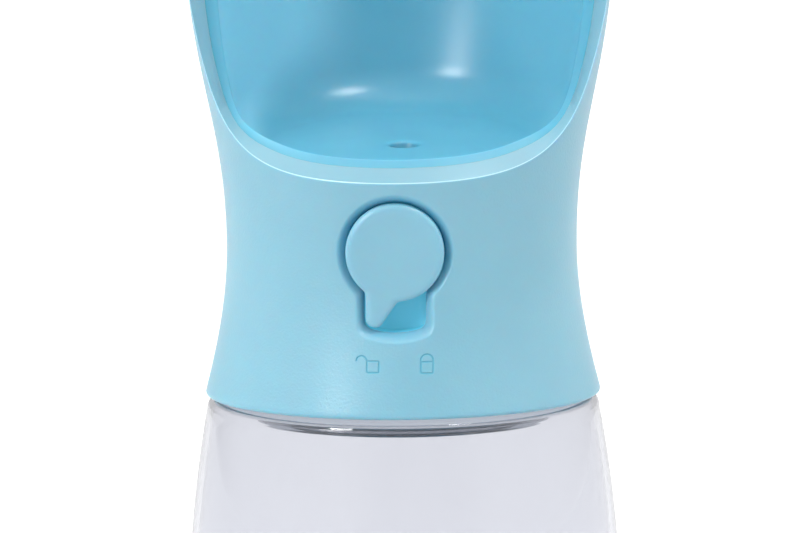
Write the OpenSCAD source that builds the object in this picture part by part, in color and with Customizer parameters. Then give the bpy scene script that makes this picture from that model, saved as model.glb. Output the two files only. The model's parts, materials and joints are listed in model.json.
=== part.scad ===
// Travel water bottle for dogs: a clear bottle with a wide threaded neck, and a
// screw-on head that is a drinking trough with a push button valve. Turning the
// button's pointer locks it. Millimetres, +Z up, front (the button) faces -Y,
// origin at the centre of the bottle's foot.

/* [Bottle] */
// Largest outer radius of the bottle
bottle_r = 36.2; // [34:0.1:38]
// Height of the flat shoulder that the head closes onto
shoulder_z = 92.9; // [91.9:0.1:93]
// Wall thickness of the bottle's barrel and shoulder
bottle_wall = 1.1; // [1:0.1:1.5]
// Inner radius of the neck
neck_bore_r = 20.8; // [19:0.1:20.9]
// Outer radius of the neck between the threads
neck_r = 22.6; // [22.2:0.1:22.7]

/* [Head] */
// Height of the collar's lower edge
collar_z = 93.4; // [93.2:0.1:93.6]
// Radius of the collar near its lower edge
collar_r = 32.75; // [32:0.05:33.2]
// Radius of the waist, where a hand holds the head
waist_r = 29; // [28.6:0.1:29.6]
// Height of the waist
waist_z = 118.5; // [116:0.5:120]
// Largest radius of the scoop
scoop_r = 35.9; // [34:0.1:36.1]
// Height of the scoop's largest radius
scoop_z = 182; // [176:1:188]
// Height of the scoop's top edge
top_z = 218; // [212:1:224]
// Height of the front lip's outer edge
lip_z = 131.6; // [130.5:0.1:133]
// Wall thickness of the outer shell
shell_wall = 2.5; // [2.2:0.1:2.6]
// Wall thickness of the trough liner
liner_wall = 1.7; // [1.4:0.1:2]

/* [Button] */
// Height of the button's axis
button_z = 120.3; // [120:0.1:121]
// Radius of the button's disc
button_r = 7.9; // [7.4:0.1:8]
// How far the button is pressed in
press_travel = 2.5; // [1.5:0.1:2.5]
// Angle of the pointer either side of straight down
pointer_angle = 17.25; // [14:0.25:17.25]
// Distance from the button's axis to the centre of the pointer's round tip
pointer_reach = 11.1; // [10:0.1:11.2]

/* [Thread] */
// Pitch of the neck thread
pitch = 4; // [4:0.1:4.4]
// Turns of thread on the neck
neck_turns = 1.2; // [0.8:0.05:1.2]
// Turns of thread in the head
socket_turns = 1; // [0.6:0.05:1]

/* [Hidden] */
$fn = 96;
eps = 0.01;

// Colours
shell_colour = [0.56, 0.78, 0.87];
liner_colour = [0.38, 0.69, 0.83];
clear_colour = [0.87, 0.89, 0.94, 0.4];
inner_colour = [0.86, 0.88, 0.9];
rubber_colour = [0.93, 0.93, 0.92];
steel_colour = [0.7, 0.71, 0.73];

// ---------------------------------------------------------------- curves
function bez(p, t) = pow(1 - t, 3) * p[0] + 3 * t * pow(1 - t, 2) * p[1]
                     + 3 * t * t * (1 - t) * p[2] + pow(t, 3) * p[3];
function bez_run(p, n, first = 0) = [for (i = [first:n]) bez(p, i / n)];
function arc_run(cx, cy, r, a0, a1, n) =
    [for (i = [0:n]) let (a = a0 + (a1 - a0) * i / n) [cx + r * cos(a), cy + r * sin(a)]];
function reversed(v) = [for (i = [len(v) - 1:-1:0]) v[i]];
function smooth(a, b, x) = let (u = min(1, max(0, (x - a) / (b - a)))) u * u * (3 - 2 * u);

// Head outline, [radius, height], from the collar up to the scoop's top
foot_curve = [[collar_r, collar_z + 0.6], [collar_r - 1.8, collar_z + 7.6],
              [waist_r, waist_z - 9], [waist_r, waist_z]];
flare_curve = [[waist_r, waist_z], [waist_r, waist_z + 23.5],
               [scoop_r, scoop_z - 35.7], [scoop_r, scoop_z]];
crown_curve = [[scoop_r, scoop_z], [scoop_r, scoop_z + 14],
               [scoop_r - 1.6, top_z - 9], [scoop_r - 4.4, top_z]];
head_table = [for (p = concat(bez_run(foot_curve, 12), bez_run(flare_curve, 30, 1),
                              bez_run(crown_curve, 14, 1))) [p[1], p[0]]];
function head_r(z) = lookup(z, head_table);

// Bottle outline, [radius, height]: a barrel around its widest height
barrel_z = 52;
function barrel_r(z) = bottle_r - 3.7 * pow((z - barrel_z) / 40, 2);

// ---------------------------------------------------------------- scoop rim
// Side view of the rim's outer edge, [y, z], from the front lip to the top
rim_front = [[-head_r(lip_z), lip_z], [-21, lip_z + 1.3], [-12.5, lip_z + 6.9], [-9.8, 147]];
rim_side = [[-9.8, 147], [-7.4, 153.6], [-4.4, 162.5], [0.5, 178.5]];
rim_back = [[0.5, 178.5], [5, 192.5], [18, 206.5], [head_r(top_z), top_z]];
rim_edge = concat([for (i = [0:16]) bez(rim_front, pow(i / 16, 1.8))],
                  bez_run(rim_side, 6, 1),
                  [for (i = [1:14]) bez(rim_back, 1 - pow(1 - i / 14, 1.8))]);
rim_count = len(rim_edge);
// Azimuth of each rim point, measured from the front
rim_phi = [for (p = rim_edge)
    let (r = head_r(p[1])) acos(min(1, max(-1, -p[0] / r)))];
// The rim's face is a bevel: it rises inwards at the front and turns inwards at the sides
bevel_rise = 2.25;
bevel_turn = 9;
function rim_rise(phi) = bevel_rise * (1 - smooth(40, 85, phi)) - 1.2 * smooth(120, 180, phi);
function rim_turn(phi) = bevel_turn * pow(sin(phi), 2.5);
// Point of the rim's face at column i, depth d inside the outer surface: [phi, radius, z]
function rim_point(i, d) = let (phi = rim_phi[i], k = d / shell_wall,
                                z = rim_edge[i][1] + k * rim_rise(phi))
    [phi + k * rim_turn(phi), head_r(z) - d, z];
// Columns run right round: front to back on one side, then back to front
columns = concat([for (i = [0:rim_count - 1]) [i, 1]], [for (i = [rim_count - 2:-1:1]) [i, -1]]);
function on_column(c, phi, r, z) = [c[1] * r * sin(phi), -r * cos(phi), z];

// Closed tube of rings: each ring is a closed loop, and the last joins the first
module ring_tube(rings) {
    n = len(rings);
    m = len(rings[0]);
    points = [for (ring = rings) for (p = ring) p];
    faces = [for (i = [0:n - 1]) for (j = [0:m - 1])
        let (a = i * m + j, b = i * m + (j + 1) % m,
             c = ((i + 1) % n) * m + (j + 1) % m, d = ((i + 1) % n) * m + j)
        each [[a, b, c], [a, c, d]]];
    polyhedron(points, faces, convexity = 8);
}

// Open tube of rings, closed by a flat cap at each end
module capped_tube(rings) {
    n = len(rings);
    m = len(rings[0]);
    points = [for (ring = rings) for (p = ring) p];
    sides = [for (i = [0:n - 2]) for (j = [0:m - 1])
        let (a = i * m + j, b = i * m + (j + 1) % m)
        each [[a, b, b + m], [a, b + m, a + m]]];
    first = [for (j = [m - 1:-1:0]) j];
    last = [for (j = [0:m - 1]) (n - 1) * m + j];
    polyhedron(points, concat([first], sides, [last]), convexity = 8);
}

// ---------------------------------------------------------------- threads
thread_depth = 1.4;
thread_root_w = 2.4;
thread_crest_w = 1;
thread_embed = 0.5;
socket_r = neck_r + thread_depth + 0.5;
thread_z = shoulder_z + 3.1;
// Helical ridge that starts at height z0 and angle a0. out = 1 on the neck, -1 in the socket
module thread_ridge(root_r, out, z0, a0, turns) {
    steps = round(turns * 30);
    fade = 3;
    function ring(i) = let (
            a = a0 + 360 * turns * i / steps,
            z = z0 + pitch * (a / 360),
            h = thread_depth * min(1, min(i, steps - i) / fade),
            w = thread_crest_w / 2, b = thread_root_w / 2,
            r0 = root_r - out * thread_embed, r1 = root_r + out * max(0.05, h),
            s = out > 0 ? [[r0, -b], [r1, -w], [r1, w], [r0, b]]
                        : [[r0, b], [r1, w], [r1, -w], [r0, -b]])
        [for (q = s) [q[0] * cos(a), q[0] * sin(a), z + q[1]]];
    capped_tube([for (i = [0:steps]) ring(i)]);
}

// ---------------------------------------------------------------- bottle
neck_top_z = shoulder_z + 9.3;
foot_round_r = 7;
foot_r = barrel_r(8) - foot_round_r;
punt_z = 2.6;
module bottle() {
    wall = bottle_wall;
    corner_z = shoulder_z - 1.8;
    // The neck ends inside in a thick root that hangs below the shoulder
    root_r = neck_bore_r + 3.2;
    outer = concat(
        [[0, punt_z + 1], [12, punt_z + 0.7], [foot_r - 6, punt_z - 0.9], [foot_r - 3, 0]],
        arc_run(foot_r, foot_round_r, foot_round_r, -90, -5, 8),
        [for (i = [1:16]) let (z = 8 + (corner_z - 8) * i / 16) [barrel_r(z), z]],
        arc_run(barrel_r(corner_z) - 1.8, corner_z, 1.8, 15, 90, 5),
        [[neck_r + 0.6, shoulder_z], [neck_r, shoulder_z + 0.6], [neck_r, neck_top_z - 0.5],
         [neck_r - 0.5, neck_top_z]]);
    inner = concat(
        [[neck_bore_r + 0.4, neck_top_z], [neck_bore_r, neck_top_z - 0.4]],
        arc_run(neck_bore_r + 0.9, shoulder_z - 2.4, 0.9, 180, 270, 3),
        [[root_r - 0.5, shoulder_z - 3.3]],
        arc_run(root_r + 1.4, shoulder_z - wall - 1.4, 1.4, 180, 90, 4),
        arc_run(barrel_r(corner_z) - 1.8, corner_z, 1.8 - wall, 90, 15, 3),
        [for (i = [15:-1:1]) let (z = 8 + (corner_z - 8) * i / 16) [barrel_r(z) - wall, z]],
        arc_run(foot_r, 9, foot_round_r - wall, -5, -90, 7),
        [[foot_r - 5, punt_z + 2], [12, punt_z + 3], [0, punt_z + 3.4]]);
    color(clear_colour) union() {
        rotate_extrude() polygon(concat(outer, inner));
        thread_ridge(neck_r, 1, thread_z, 0, neck_turns);
    }
}

// ---------------------------------------------------------------- neck gasket
gasket_h = 1.5;
roof_z = neck_top_z + gasket_h;
module neck_gasket() {
    color(rubber_colour) translate([0, 0, neck_top_z + 0.02]) difference() {
        cylinder(r = socket_r - 0.3, h = gasket_h - 0.04);
        translate([0, 0, -1]) cylinder(r = neck_bore_r - 0.3, h = gasket_h + 2);
    }
}

// ---------------------------------------------------------------- valve layout
// Places along the button's axis, front negative
face_y = -29.35;
pocket_floor_y = -24.2;
flange_front_y = -24.2;
flange_back_y = -23.2;
gland_y = -16.5;
gland_end_y = -8;
seat_front_y = 5;
seat_back_y = 6.6;
chamber_end_y = 17.5;
// Radii around it
aperture_r = button_r + 0.35;
boss_r = aperture_r + 1.75;
stem_r = 2.5;
gland_r = 4;
chamber_r = 5.6;
housing_r = 7.6;
seat_r = 3.8;
tail_r = 2;
// Places of the ports
outlet_r = 2.4;
outlet_x = 0.5;
outlet_y = -4;
inlet_r = 3;
inlet_y = 10.8;
// Heights in the head
roof_top_z = roof_z + 2;
plate_top_z = roof_top_z + 2.2;
floor_z = 135.3;
floor_slope = 0.11;
pipe_top_z = 131.2;
screw_places = [[-10.8, -8], [10.8, -8], [-10.8, 14], [10.8, 14]];

// Turns a shape drawn along +Z, with its "up" along +Y, to lie along the button's axis
module on_axis(y = 0) { translate([0, y, button_z]) rotate([-90, 0, 0]) children(); }
// Cylinder along the button's axis from y0 to y1
module rod(y0, y1, r, r2 = undef) {
    on_axis(y0) cylinder(r1 = r, r2 = is_undef(r2) ? r : r2, h = y1 - y0);
}

// ---------------------------------------------------------------- head shell
pocket_half_w = 4.95;
pocket_r = 13.1;
pocket_wall = 1.2;
// Keyhole shape of the pocket below the button, from y0 to y1, grown by g
module pocket(y0, y1, g) {
    intersection() {
        rod(y0, y1, pocket_r + g);
        translate([-pocket_half_w - g, y0 - 1, button_z - pocket_r - g - 1])
            cube([2 * (pocket_half_w + g), y1 - y0 + 2, pocket_r + g + 1]);
    }
}
// Inside of the head's outline around the button's height
module front_solid(inset) {
    rotate_extrude() polygon(concat([[0, 100]],
        [for (z = [100:4:132]) [head_r(z) - inset, z]], [[0, 132]]));
}
icon_depth = 0.35;
icon_line = 0.45;
icon_z = 102;
// Padlock outline: a square body and a shackle, drawn open or closed
module padlock(open) {
    body_w = 2.9;
    body_h = open ? 2.6 : 2.4;
    shackle_r = open ? 1.2 : body_w / 2;
    difference() {
        translate([-body_w / 2, 0]) square([body_w, body_h]);
        translate([-body_w / 2 + icon_line, icon_line])
            square([body_w - 2 * icon_line, body_h - 2 * icon_line]);
    }
    translate([open ? -body_w / 2 - shackle_r + icon_line : 0, body_h - (open ? 0 : 0.2)])
        difference() {
            circle(r = shackle_r, $fn = 32);
            circle(r = shackle_r - icon_line, $fn = 32);
            translate([-3, -6 + (open ? -0.2 : 0)]) square([6, 6]);
        }
}
module icon_cut(x, open) {
    angle = asin(x / head_r(icon_z));
    translate([0, 0, icon_z - 1.5]) rotate([0, 0, angle])
        translate([0, -head_r(icon_z) + icon_depth, 0]) rotate([90, 0, 0])
        linear_extrude(height = 3) padlock(open);
}
// Wall of the shell: one closed section per column, from the rim down to the collar's
// foot and back up inside
shell_count = 13;
foot_round = 1.5;
foot_z = collar_z + foot_round;
function shell_section(c) = let (i = c[0],
        edge = rim_point(i, 0), crest = rim_point(i, shell_wall),
        low_r = head_r(foot_z))
    concat(
        [for (k = [0:shell_count]) let (z = edge[2] + (foot_z - edge[2]) * k / shell_count)
            on_column(c, edge[0], head_r(z), z)],
        [for (a = [-30, -60, -90]) on_column(c, edge[0],
            low_r - foot_round + foot_round * cos(a), foot_z + foot_round * sin(a))],
        [on_column(c, crest[0], low_r - shell_wall, collar_z)],
        [for (k = [shell_count:-1:0]) let (z = crest[2] + (foot_z - crest[2]) * k / shell_count)
            on_column(c, crest[0], head_r(z) - shell_wall, z)]);
module head_shell() {
    color(shell_colour) difference() {
        union() {
            ring_tube([for (c = columns) reversed(shell_section(c))]);
            intersection() {
                front_solid(0.8);
                union() {
                    rod(-32, -20, boss_r);
                    pocket(-32, pocket_floor_y + pocket_wall, pocket_wall);
                }
            }
        }
        rod(-33, -19, aperture_r);
        rod(-32, -27.4, aperture_r + 4.6 - 1.2, aperture_r);
        pocket(-33, pocket_floor_y, 0);
        icon_cut(-4.1, true);
        icon_cut(5.3, false);
    }
}

// ---------------------------------------------------------------- trough liner
liner_gap = 0.12;
bowl_fillet = 7;
spout_z = 132.4;
// Floor of the trough: it falls gently towards the front. side 0 is the wet face, 1 the underside
function floor_at(y, side) = floor_z + floor_slope * (y - outlet_y) - side * liner_wall;
// One column of the bowl's face, from the rim down its wall, round the fillet to the drain
function bowl_column(c, side) = let (
        d = side == 0 ? shell_wall + liner_wall : shell_wall + liner_gap,
        top = rim_point(c[0], d), phi = top[0],
        base_z = floor_at(-(head_r(top[2]) - d) * cos(phi), side),
        reach = min(bowl_fillet + side, top[2] - base_z - 0.15),
        wall_z = base_z + reach,
        wall_r = head_r(wall_z) - d,
        base_r = wall_r - reach * 1.08,
        foot = floor_at(-base_r * cos(phi), side),
        tilt = head_r(wall_z + 1) - head_r(wall_z),
        bend = [[wall_r, wall_z], [wall_r - tilt * reach * 0.55, wall_z - reach * 0.55],
                [base_r + reach * 0.5, foot + (base_z - foot) * 0.46], [base_r, foot]])
    concat([for (k = [0:6]) let (z = top[2] + (wall_z - top[2]) * k / 7)
                on_column(c, phi, head_r(z) - d, z)],
           [for (k = [0:8]) let (q = bez(bend, k / 8)) on_column(c, phi, q[0], q[1])],
           side == 0 ? [drain_point(c, phi, outlet_r, undef), drain_point(c, phi, outlet_r, spout_z)]
                     : [drain_point(c, phi, outlet_r + 2, undef),
                        drain_point(c, phi, outlet_r + 2, spout_z)]);
// Point round the drain at radius r: on the floor (its underside outside the hole), or at height z
function drain_point(c, phi, r, z) = let (y = outlet_y - r * cos(phi))
    [outlet_x + c[1] * r * sin(phi), y,
     is_undef(z) ? floor_at(y, r > outlet_r ? 1 : 0) : z];
module trough_liner() {
    color(liner_colour) ring_tube([for (c = columns)
        concat(bowl_column(c, 0), reversed(bowl_column(c, 1)))]);
}

// ---------------------------------------------------------------- thread insert
module thread_insert() {
    flange_r = head_r(foot_z) - shell_wall - 0.1;
    socket_outer_r = socket_r + 1.8;
    color(inner_colour) difference() {
        union() {
            rotate_extrude() polygon([
                [socket_r, collar_z + 0.5], [flange_r, collar_z + 0.5], [flange_r, foot_z - 0.1],
                [socket_outer_r, foot_z + 1.2], [socket_outer_r, roof_top_z - 0.6],
                [socket_outer_r - 0.6, roof_top_z], [0, roof_top_z], [0, roof_z],
                [socket_r, roof_z]]);
            thread_ridge(socket_r, -1, thread_z + pitch / 2, -120, socket_turns);
        }
        translate([0, inlet_y, roof_z - 1]) cylinder(r = inlet_r, h = 5);
        translate([0, inlet_y, roof_top_z - 0.8]) cylinder(r = inlet_r + 2, h = 2);
        for (p = screw_places) translate([p[0], p[1], roof_top_z - 1.6]) cylinder(r = 1.3, h = 3);
    }
}

// ---------------------------------------------------------------- valve
module valve_housing() {
    plate_w = 28;
    color(inner_colour) difference() {
        union() {
            rod(gland_y, chamber_end_y, housing_r);
            translate([0, 0, roof_top_z]) intersection() {
                translate([-plate_w / 2, -12, 0]) cube([plate_w, 30, plate_top_z - roof_top_z]);
                cylinder(r = 20, h = 5);
            }
            translate([-4.5, -12, plate_top_z - 0.5]) cube([9, 28, 10]);
            translate([0, inlet_y, roof_top_z]) cylinder(r = 6, h = 12);
            translate([outlet_x, outlet_y, button_z])
                cylinder(r = outlet_r + 1.8, h = pipe_top_z - button_z);
        }
        rod(gland_y - 1, gland_end_y + 1, gland_r);
        rod(gland_end_y, seat_front_y, chamber_r);
        rod(seat_front_y - 1, seat_back_y + 1, seat_r);
        rod(seat_back_y, chamber_end_y + 1, chamber_r);
        translate([outlet_x, outlet_y, button_z]) cylinder(r = outlet_r, h = 20);
        translate([0, inlet_y, roof_top_z - 1]) cylinder(r = inlet_r, h = button_z - roof_top_z + 1);
        for (p = screw_places) translate([p[0], p[1], roof_top_z - 1]) cylinder(r = 1.45, h = 5);
    }
}
module inlet_seal() {
    color(rubber_colour) translate([0, inlet_y, roof_top_z - 0.8]) difference() {
        cylinder(r = inlet_r + 1.95, h = 0.78);
        translate([0, 0, -1]) cylinder(r = inlet_r, h = 3);
    }
}
module outlet_seal() {
    color(rubber_colour) translate([outlet_x, outlet_y, pipe_top_z + 0.01]) difference() {
        cylinder(r = outlet_r + 2, h = spout_z - pipe_top_z - 0.04);
        translate([0, 0, -1]) cylinder(r = outlet_r, h = 3);
    }
}
module housing_screws() {
    color(steel_colour) for (p = screw_places) translate([p[0], p[1], plate_top_z]) {
        translate([0, 0, -3.7]) cylinder(r = 1.25, h = 3.8);
        difference() {
            translate([0, 0, 0.01]) cylinder(r1 = 2.4, r2 = 2, h = 1.6);
            translate([-1.3, -0.3, 1]) cube([2.6, 0.6, 1]);
            translate([-0.3, -1.3, 1]) cube([0.6, 2.6, 1]);
        }
    }
}
seal_minor = 0.7;
module end_cap() {
    color(inner_colour) difference() {
        union() {
            rod(chamber_end_y - 2.8, chamber_end_y + 0.02, chamber_r - 0.05);
            rod(chamber_end_y + 0.02, chamber_end_y + 1.8, housing_r);
        }
        difference() {
            rod(chamber_end_y - 2.1, chamber_end_y - 0.6, chamber_r + 1);
            rod(chamber_end_y - 3, chamber_end_y, chamber_r - 1.45);
        }
        rod(chamber_end_y + 1, chamber_end_y + 3, 3);
    }
}
module o_ring(y, major, minor) {
    on_axis(y) rotate_extrude() translate([major, 0]) circle(r = minor, $fn = 32);
}
module end_cap_seal() {
    color(rubber_colour) o_ring(chamber_end_y - 1.35, chamber_r - 0.73, seal_minor);
}

// Ring behind the button whose ledges face the button's lugs
lock_ring_y0 = -22;
lock_ring_y1 = -20.3;
lug_half = 12;
module sector(y0, y1, r0, r1, a0, a1) {
    on_axis(y0) rotate([0, 0, a0]) rotate_extrude(angle = a1 - a0)
        translate([r0, 0]) square([r1 - r0, y1 - y0]);
}
module lock_ring() {
    color(inner_colour) union() {
        difference() {
            rod(lock_ring_y0, lock_ring_y1, aperture_r - 0.05);
            rod(lock_ring_y0 - 1, lock_ring_y1 + 1, 5.6);
        }
        for (a = [0, 180])
            sector(lock_ring_y0 - 0.6, lock_ring_y0 + 0.3, 6.3, aperture_r - 0.05,
                   a + pointer_angle - lug_half, a + pointer_angle + lug_half);
    }
}

// Helical return spring with closed ends
spring_wire_r = 0.3;
spring_r = 4.6;
module return_spring() {
    turns = 5;
    steps = turns * 20;
    y0 = flange_back_y + spring_wire_r + 0.02;
    y1 = gland_y - spring_wire_r - 0.02;
    closed = 2 * spring_wire_r + 0.02;
    function along(u) = let (v = u * turns)
        v < 1 ? closed * v
        : v > turns - 1 ? (y1 - y0) - closed * (turns - v)
        : closed + (y1 - y0 - 2 * closed) * (v - 1) / (turns - 2);
    color(steel_colour) capped_tube([for (i = [0:steps])
        let (u = i / steps, a = 360 * turns * u)
        [for (k = [0:7]) let (b = 45 * k, r = spring_r + spring_wire_r * cos(b))
            [r * cos(a), y0 + along(u) + spring_wire_r * sin(b), button_z + r * sin(a)]]]);
}

// ---------------------------------------------------------------- plunger
tail_y = 5.4;
plug_end_y = 10.2;
module valve_stem() {
    color(inner_colour) union() {
        rod(-27, flange_front_y, tail_r);
        rod(-26.2, -25.6, tail_r + 0.35);
        rod(flange_front_y, flange_back_y, 5.1);
        rod(flange_back_y, -15.6, stem_r);
        rod(-15.6, -14.9, gland_r - 0.05);
        rod(-14.9, -13.1, 2.35);
        rod(-13.1, -12.4, gland_r - 0.05);
        rod(-12.4, tail_y, stem_r);
        rod(tail_y, plug_end_y, tail_r);
        rod(plug_end_y, plug_end_y + 1, 3);
    }
}
module stem_seal() { color(rubber_colour) o_ring(-14, 3.17, 0.8); }
module valve_plug() {
    color(rubber_colour) difference() {
        union() {
            rod(tail_y + 0.02, seat_back_y + 0.04, seat_r - 0.3);
            rod(seat_back_y + 0.04, plug_end_y - 1.2, 5);
            rod(plug_end_y - 1.2, plug_end_y - 0.02, 5, 4);
        }
        rod(tail_y - 1, plug_end_y + 1, tail_r + 0.03);
    }
}

// ---------------------------------------------------------------- button
plate_y = face_y + 1.8;
skirt_y = -26;
// Flat outline of the pointer, tip down, tapering at the pointer's angle
module pointer_outline(tip) {
    a = pointer_angle;
    reach = 6.5;
    polygon(concat([[-tip * cos(a) + reach * sin(-a), -pointer_reach - tip * sin(a) + reach * cos(a)]],
                   arc_run(0, -pointer_reach, tip, -180 + a, -a, 12),
                   [[tip * cos(a) + reach * sin(a), -pointer_reach - tip * sin(a) + reach * cos(a)]]));
}
// Pointer from y0 to y1, turned to the unlocked side
module pointer(y0, y1) {
    translate([0, y1, button_z]) rotate([90, 0, 0]) rotate([0, 0, -pointer_angle])
        linear_extrude(height = y1 - y0) pointer_outline(1.5);
}
module button_cap() {
    edge = 0.5;
    color(shell_colour) difference() {
        union() {
            rod(face_y, face_y + edge, button_r - edge, button_r);
            rod(face_y + edge, plate_y, button_r);
            pointer(face_y + 0.15, face_y + 1.9);
            difference() {
                rod(plate_y - 0.3, skirt_y, button_r);
                rod(plate_y, skirt_y + 1, button_r - 1.2);
            }
            for (a = [0, 180])
                sector(skirt_y - 0.5, skirt_y + 0.7, button_r - 1.05, button_r - 0.15,
                       a - pointer_angle - lug_half + 2, a - pointer_angle + lug_half - 2);
            rod(plate_y - 0.3, flange_front_y - 0.05, 3.7);
        }
        rod(-27.15, flange_front_y + 1, tail_r + 0.05);
        rod(-26.35, -25.45, tail_r + 0.45);
    }
}

bottle();
neck_gasket();
head_shell();
trough_liner();
thread_insert();
valve_housing();
inlet_seal();
outlet_seal();
housing_screws();
end_cap();
end_cap_seal();
lock_ring();
return_spring();
valve_stem();
stem_seal();
valve_plug();
button_cap();
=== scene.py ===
"""Clear travel water bottle with a screw-on drinking trough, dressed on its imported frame.

All shapes are worked out in millimetres in the row frame (+Z up, the button faces -Y)
and scaled to metres when a mesh is made.
"""

from __future__ import annotations

import json
import logging
import math
from dataclasses import dataclass, field
from enum import Enum
from typing import Callable, Iterable, Sequence

import bmesh
import bpy
import numpy as np
from mathutils import Matrix, Vector

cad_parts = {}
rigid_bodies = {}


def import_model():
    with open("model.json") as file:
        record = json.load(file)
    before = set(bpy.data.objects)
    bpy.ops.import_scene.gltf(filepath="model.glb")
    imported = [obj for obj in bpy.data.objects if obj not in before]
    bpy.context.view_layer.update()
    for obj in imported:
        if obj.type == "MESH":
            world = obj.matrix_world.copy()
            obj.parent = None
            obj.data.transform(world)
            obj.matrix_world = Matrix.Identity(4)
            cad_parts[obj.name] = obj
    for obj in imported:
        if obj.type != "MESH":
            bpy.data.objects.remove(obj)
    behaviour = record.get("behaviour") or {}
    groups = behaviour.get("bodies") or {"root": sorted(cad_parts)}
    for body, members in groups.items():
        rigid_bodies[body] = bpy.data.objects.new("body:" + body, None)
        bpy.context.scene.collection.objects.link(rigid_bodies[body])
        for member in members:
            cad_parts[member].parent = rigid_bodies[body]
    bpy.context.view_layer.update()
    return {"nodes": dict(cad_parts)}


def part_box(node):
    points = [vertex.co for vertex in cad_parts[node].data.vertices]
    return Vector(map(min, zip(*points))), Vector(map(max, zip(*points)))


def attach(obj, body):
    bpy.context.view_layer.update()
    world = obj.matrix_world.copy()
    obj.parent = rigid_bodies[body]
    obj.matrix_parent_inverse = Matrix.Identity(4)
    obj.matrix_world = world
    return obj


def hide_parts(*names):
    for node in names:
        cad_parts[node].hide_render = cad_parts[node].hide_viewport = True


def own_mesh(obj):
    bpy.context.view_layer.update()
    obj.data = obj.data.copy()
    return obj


LOG = logging.getLogger("bottle")
MM = 0.001
Array = np.ndarray
Colour = tuple[int, int, int]


# --------------------------------------------------------------------------- dimensions
@dataclass(frozen=True)
class Dims:
    """Sizes shared by the pieces, in millimetres, as in the CAD source."""

    shell_wall: float = 2.5
    liner_wall: float = 1.7
    liner_gap: float = 0.0
    collar_z: float = 93.7
    collar_r: float = 32.75
    waist_r: float = 29.0
    waist_z: float = 118.5
    scoop_r: float = 35.9
    scoop_z: float = 182.0
    top_z: float = 218.0
    lip_z: float = 131.6
    foot_round: float = 0.6
    shoulder_z: float = 92.9
    button_z: float = 120.3
    button_r: float = 7.95
    face_y: float = -29.35
    pocket_floor_y: float = -24.2
    boss_end_y: float = -20.0
    aperture_r: float = 8.07
    drain_x: float = 0.65
    drain_y: float = -3.5
    floor_ref_y: float = -4.0
    drain_r: float = 2.4
    floor_z: float = 135.3
    floor_slope: float = 0.11
    spout_z: float = 132.4
    pointer_angle: float = 17.25
    pointer_reach: float = 11.1

    @property
    def foot_z(self) -> float:
        """Height where the collar's foot rounding starts."""
        return self.collar_z + self.foot_round


DIM = Dims()


def bezier(points: Sequence[Sequence[float]], t: Array) -> Array:
    """Points of a cubic Bezier curve at the parameters t, one row each."""
    p = np.asarray(points, float)
    t = np.asarray(t, float)[:, None]
    return (1 - t) ** 3 * p[0] + 3 * t * (1 - t) ** 2 * p[1] + 3 * t**2 * (1 - t) * p[2] + t**3 * p[3]


def smooth(a: float, b: float, x: Array) -> Array:
    """Smoothstep from 0 at a to 1 at b."""
    u = np.clip((np.asarray(x, float) - a) / (b - a), 0, 1)
    return u * u * (3 - 2 * u)


class HeadOutline:
    """Radius of the head's outer surface at a height."""

    def __init__(self, d: Dims) -> None:
        foot = [(d.collar_r, d.collar_z + 0.6), (d.collar_r - 1.8, d.collar_z + 7.6),
                (d.waist_r, d.waist_z - 9), (d.waist_r, d.waist_z)]
        flare = [(d.waist_r, d.waist_z), (d.waist_r, d.waist_z + 23.5),
                 (d.scoop_r, d.scoop_z - 35.7), (d.scoop_r, d.scoop_z)]
        crown = [(d.scoop_r, d.scoop_z), (d.scoop_r, d.scoop_z + 14),
                 (d.scoop_r - 1.6, d.top_z - 9), (d.scoop_r - 4.4, d.top_z)]
        t = np.linspace(0, 1, 400)
        pts = np.vstack([bezier(foot, t)[:-1], bezier(flare, t)[:-1], bezier(crown, t)])
        self._r, self._z = pts[:, 0], pts[:, 1]

    def radius(self, z: Array | float) -> Array:
        """Outer radius at height z."""
        return np.interp(z, self._z, self._r)


HEAD = HeadOutline(DIM)


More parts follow.
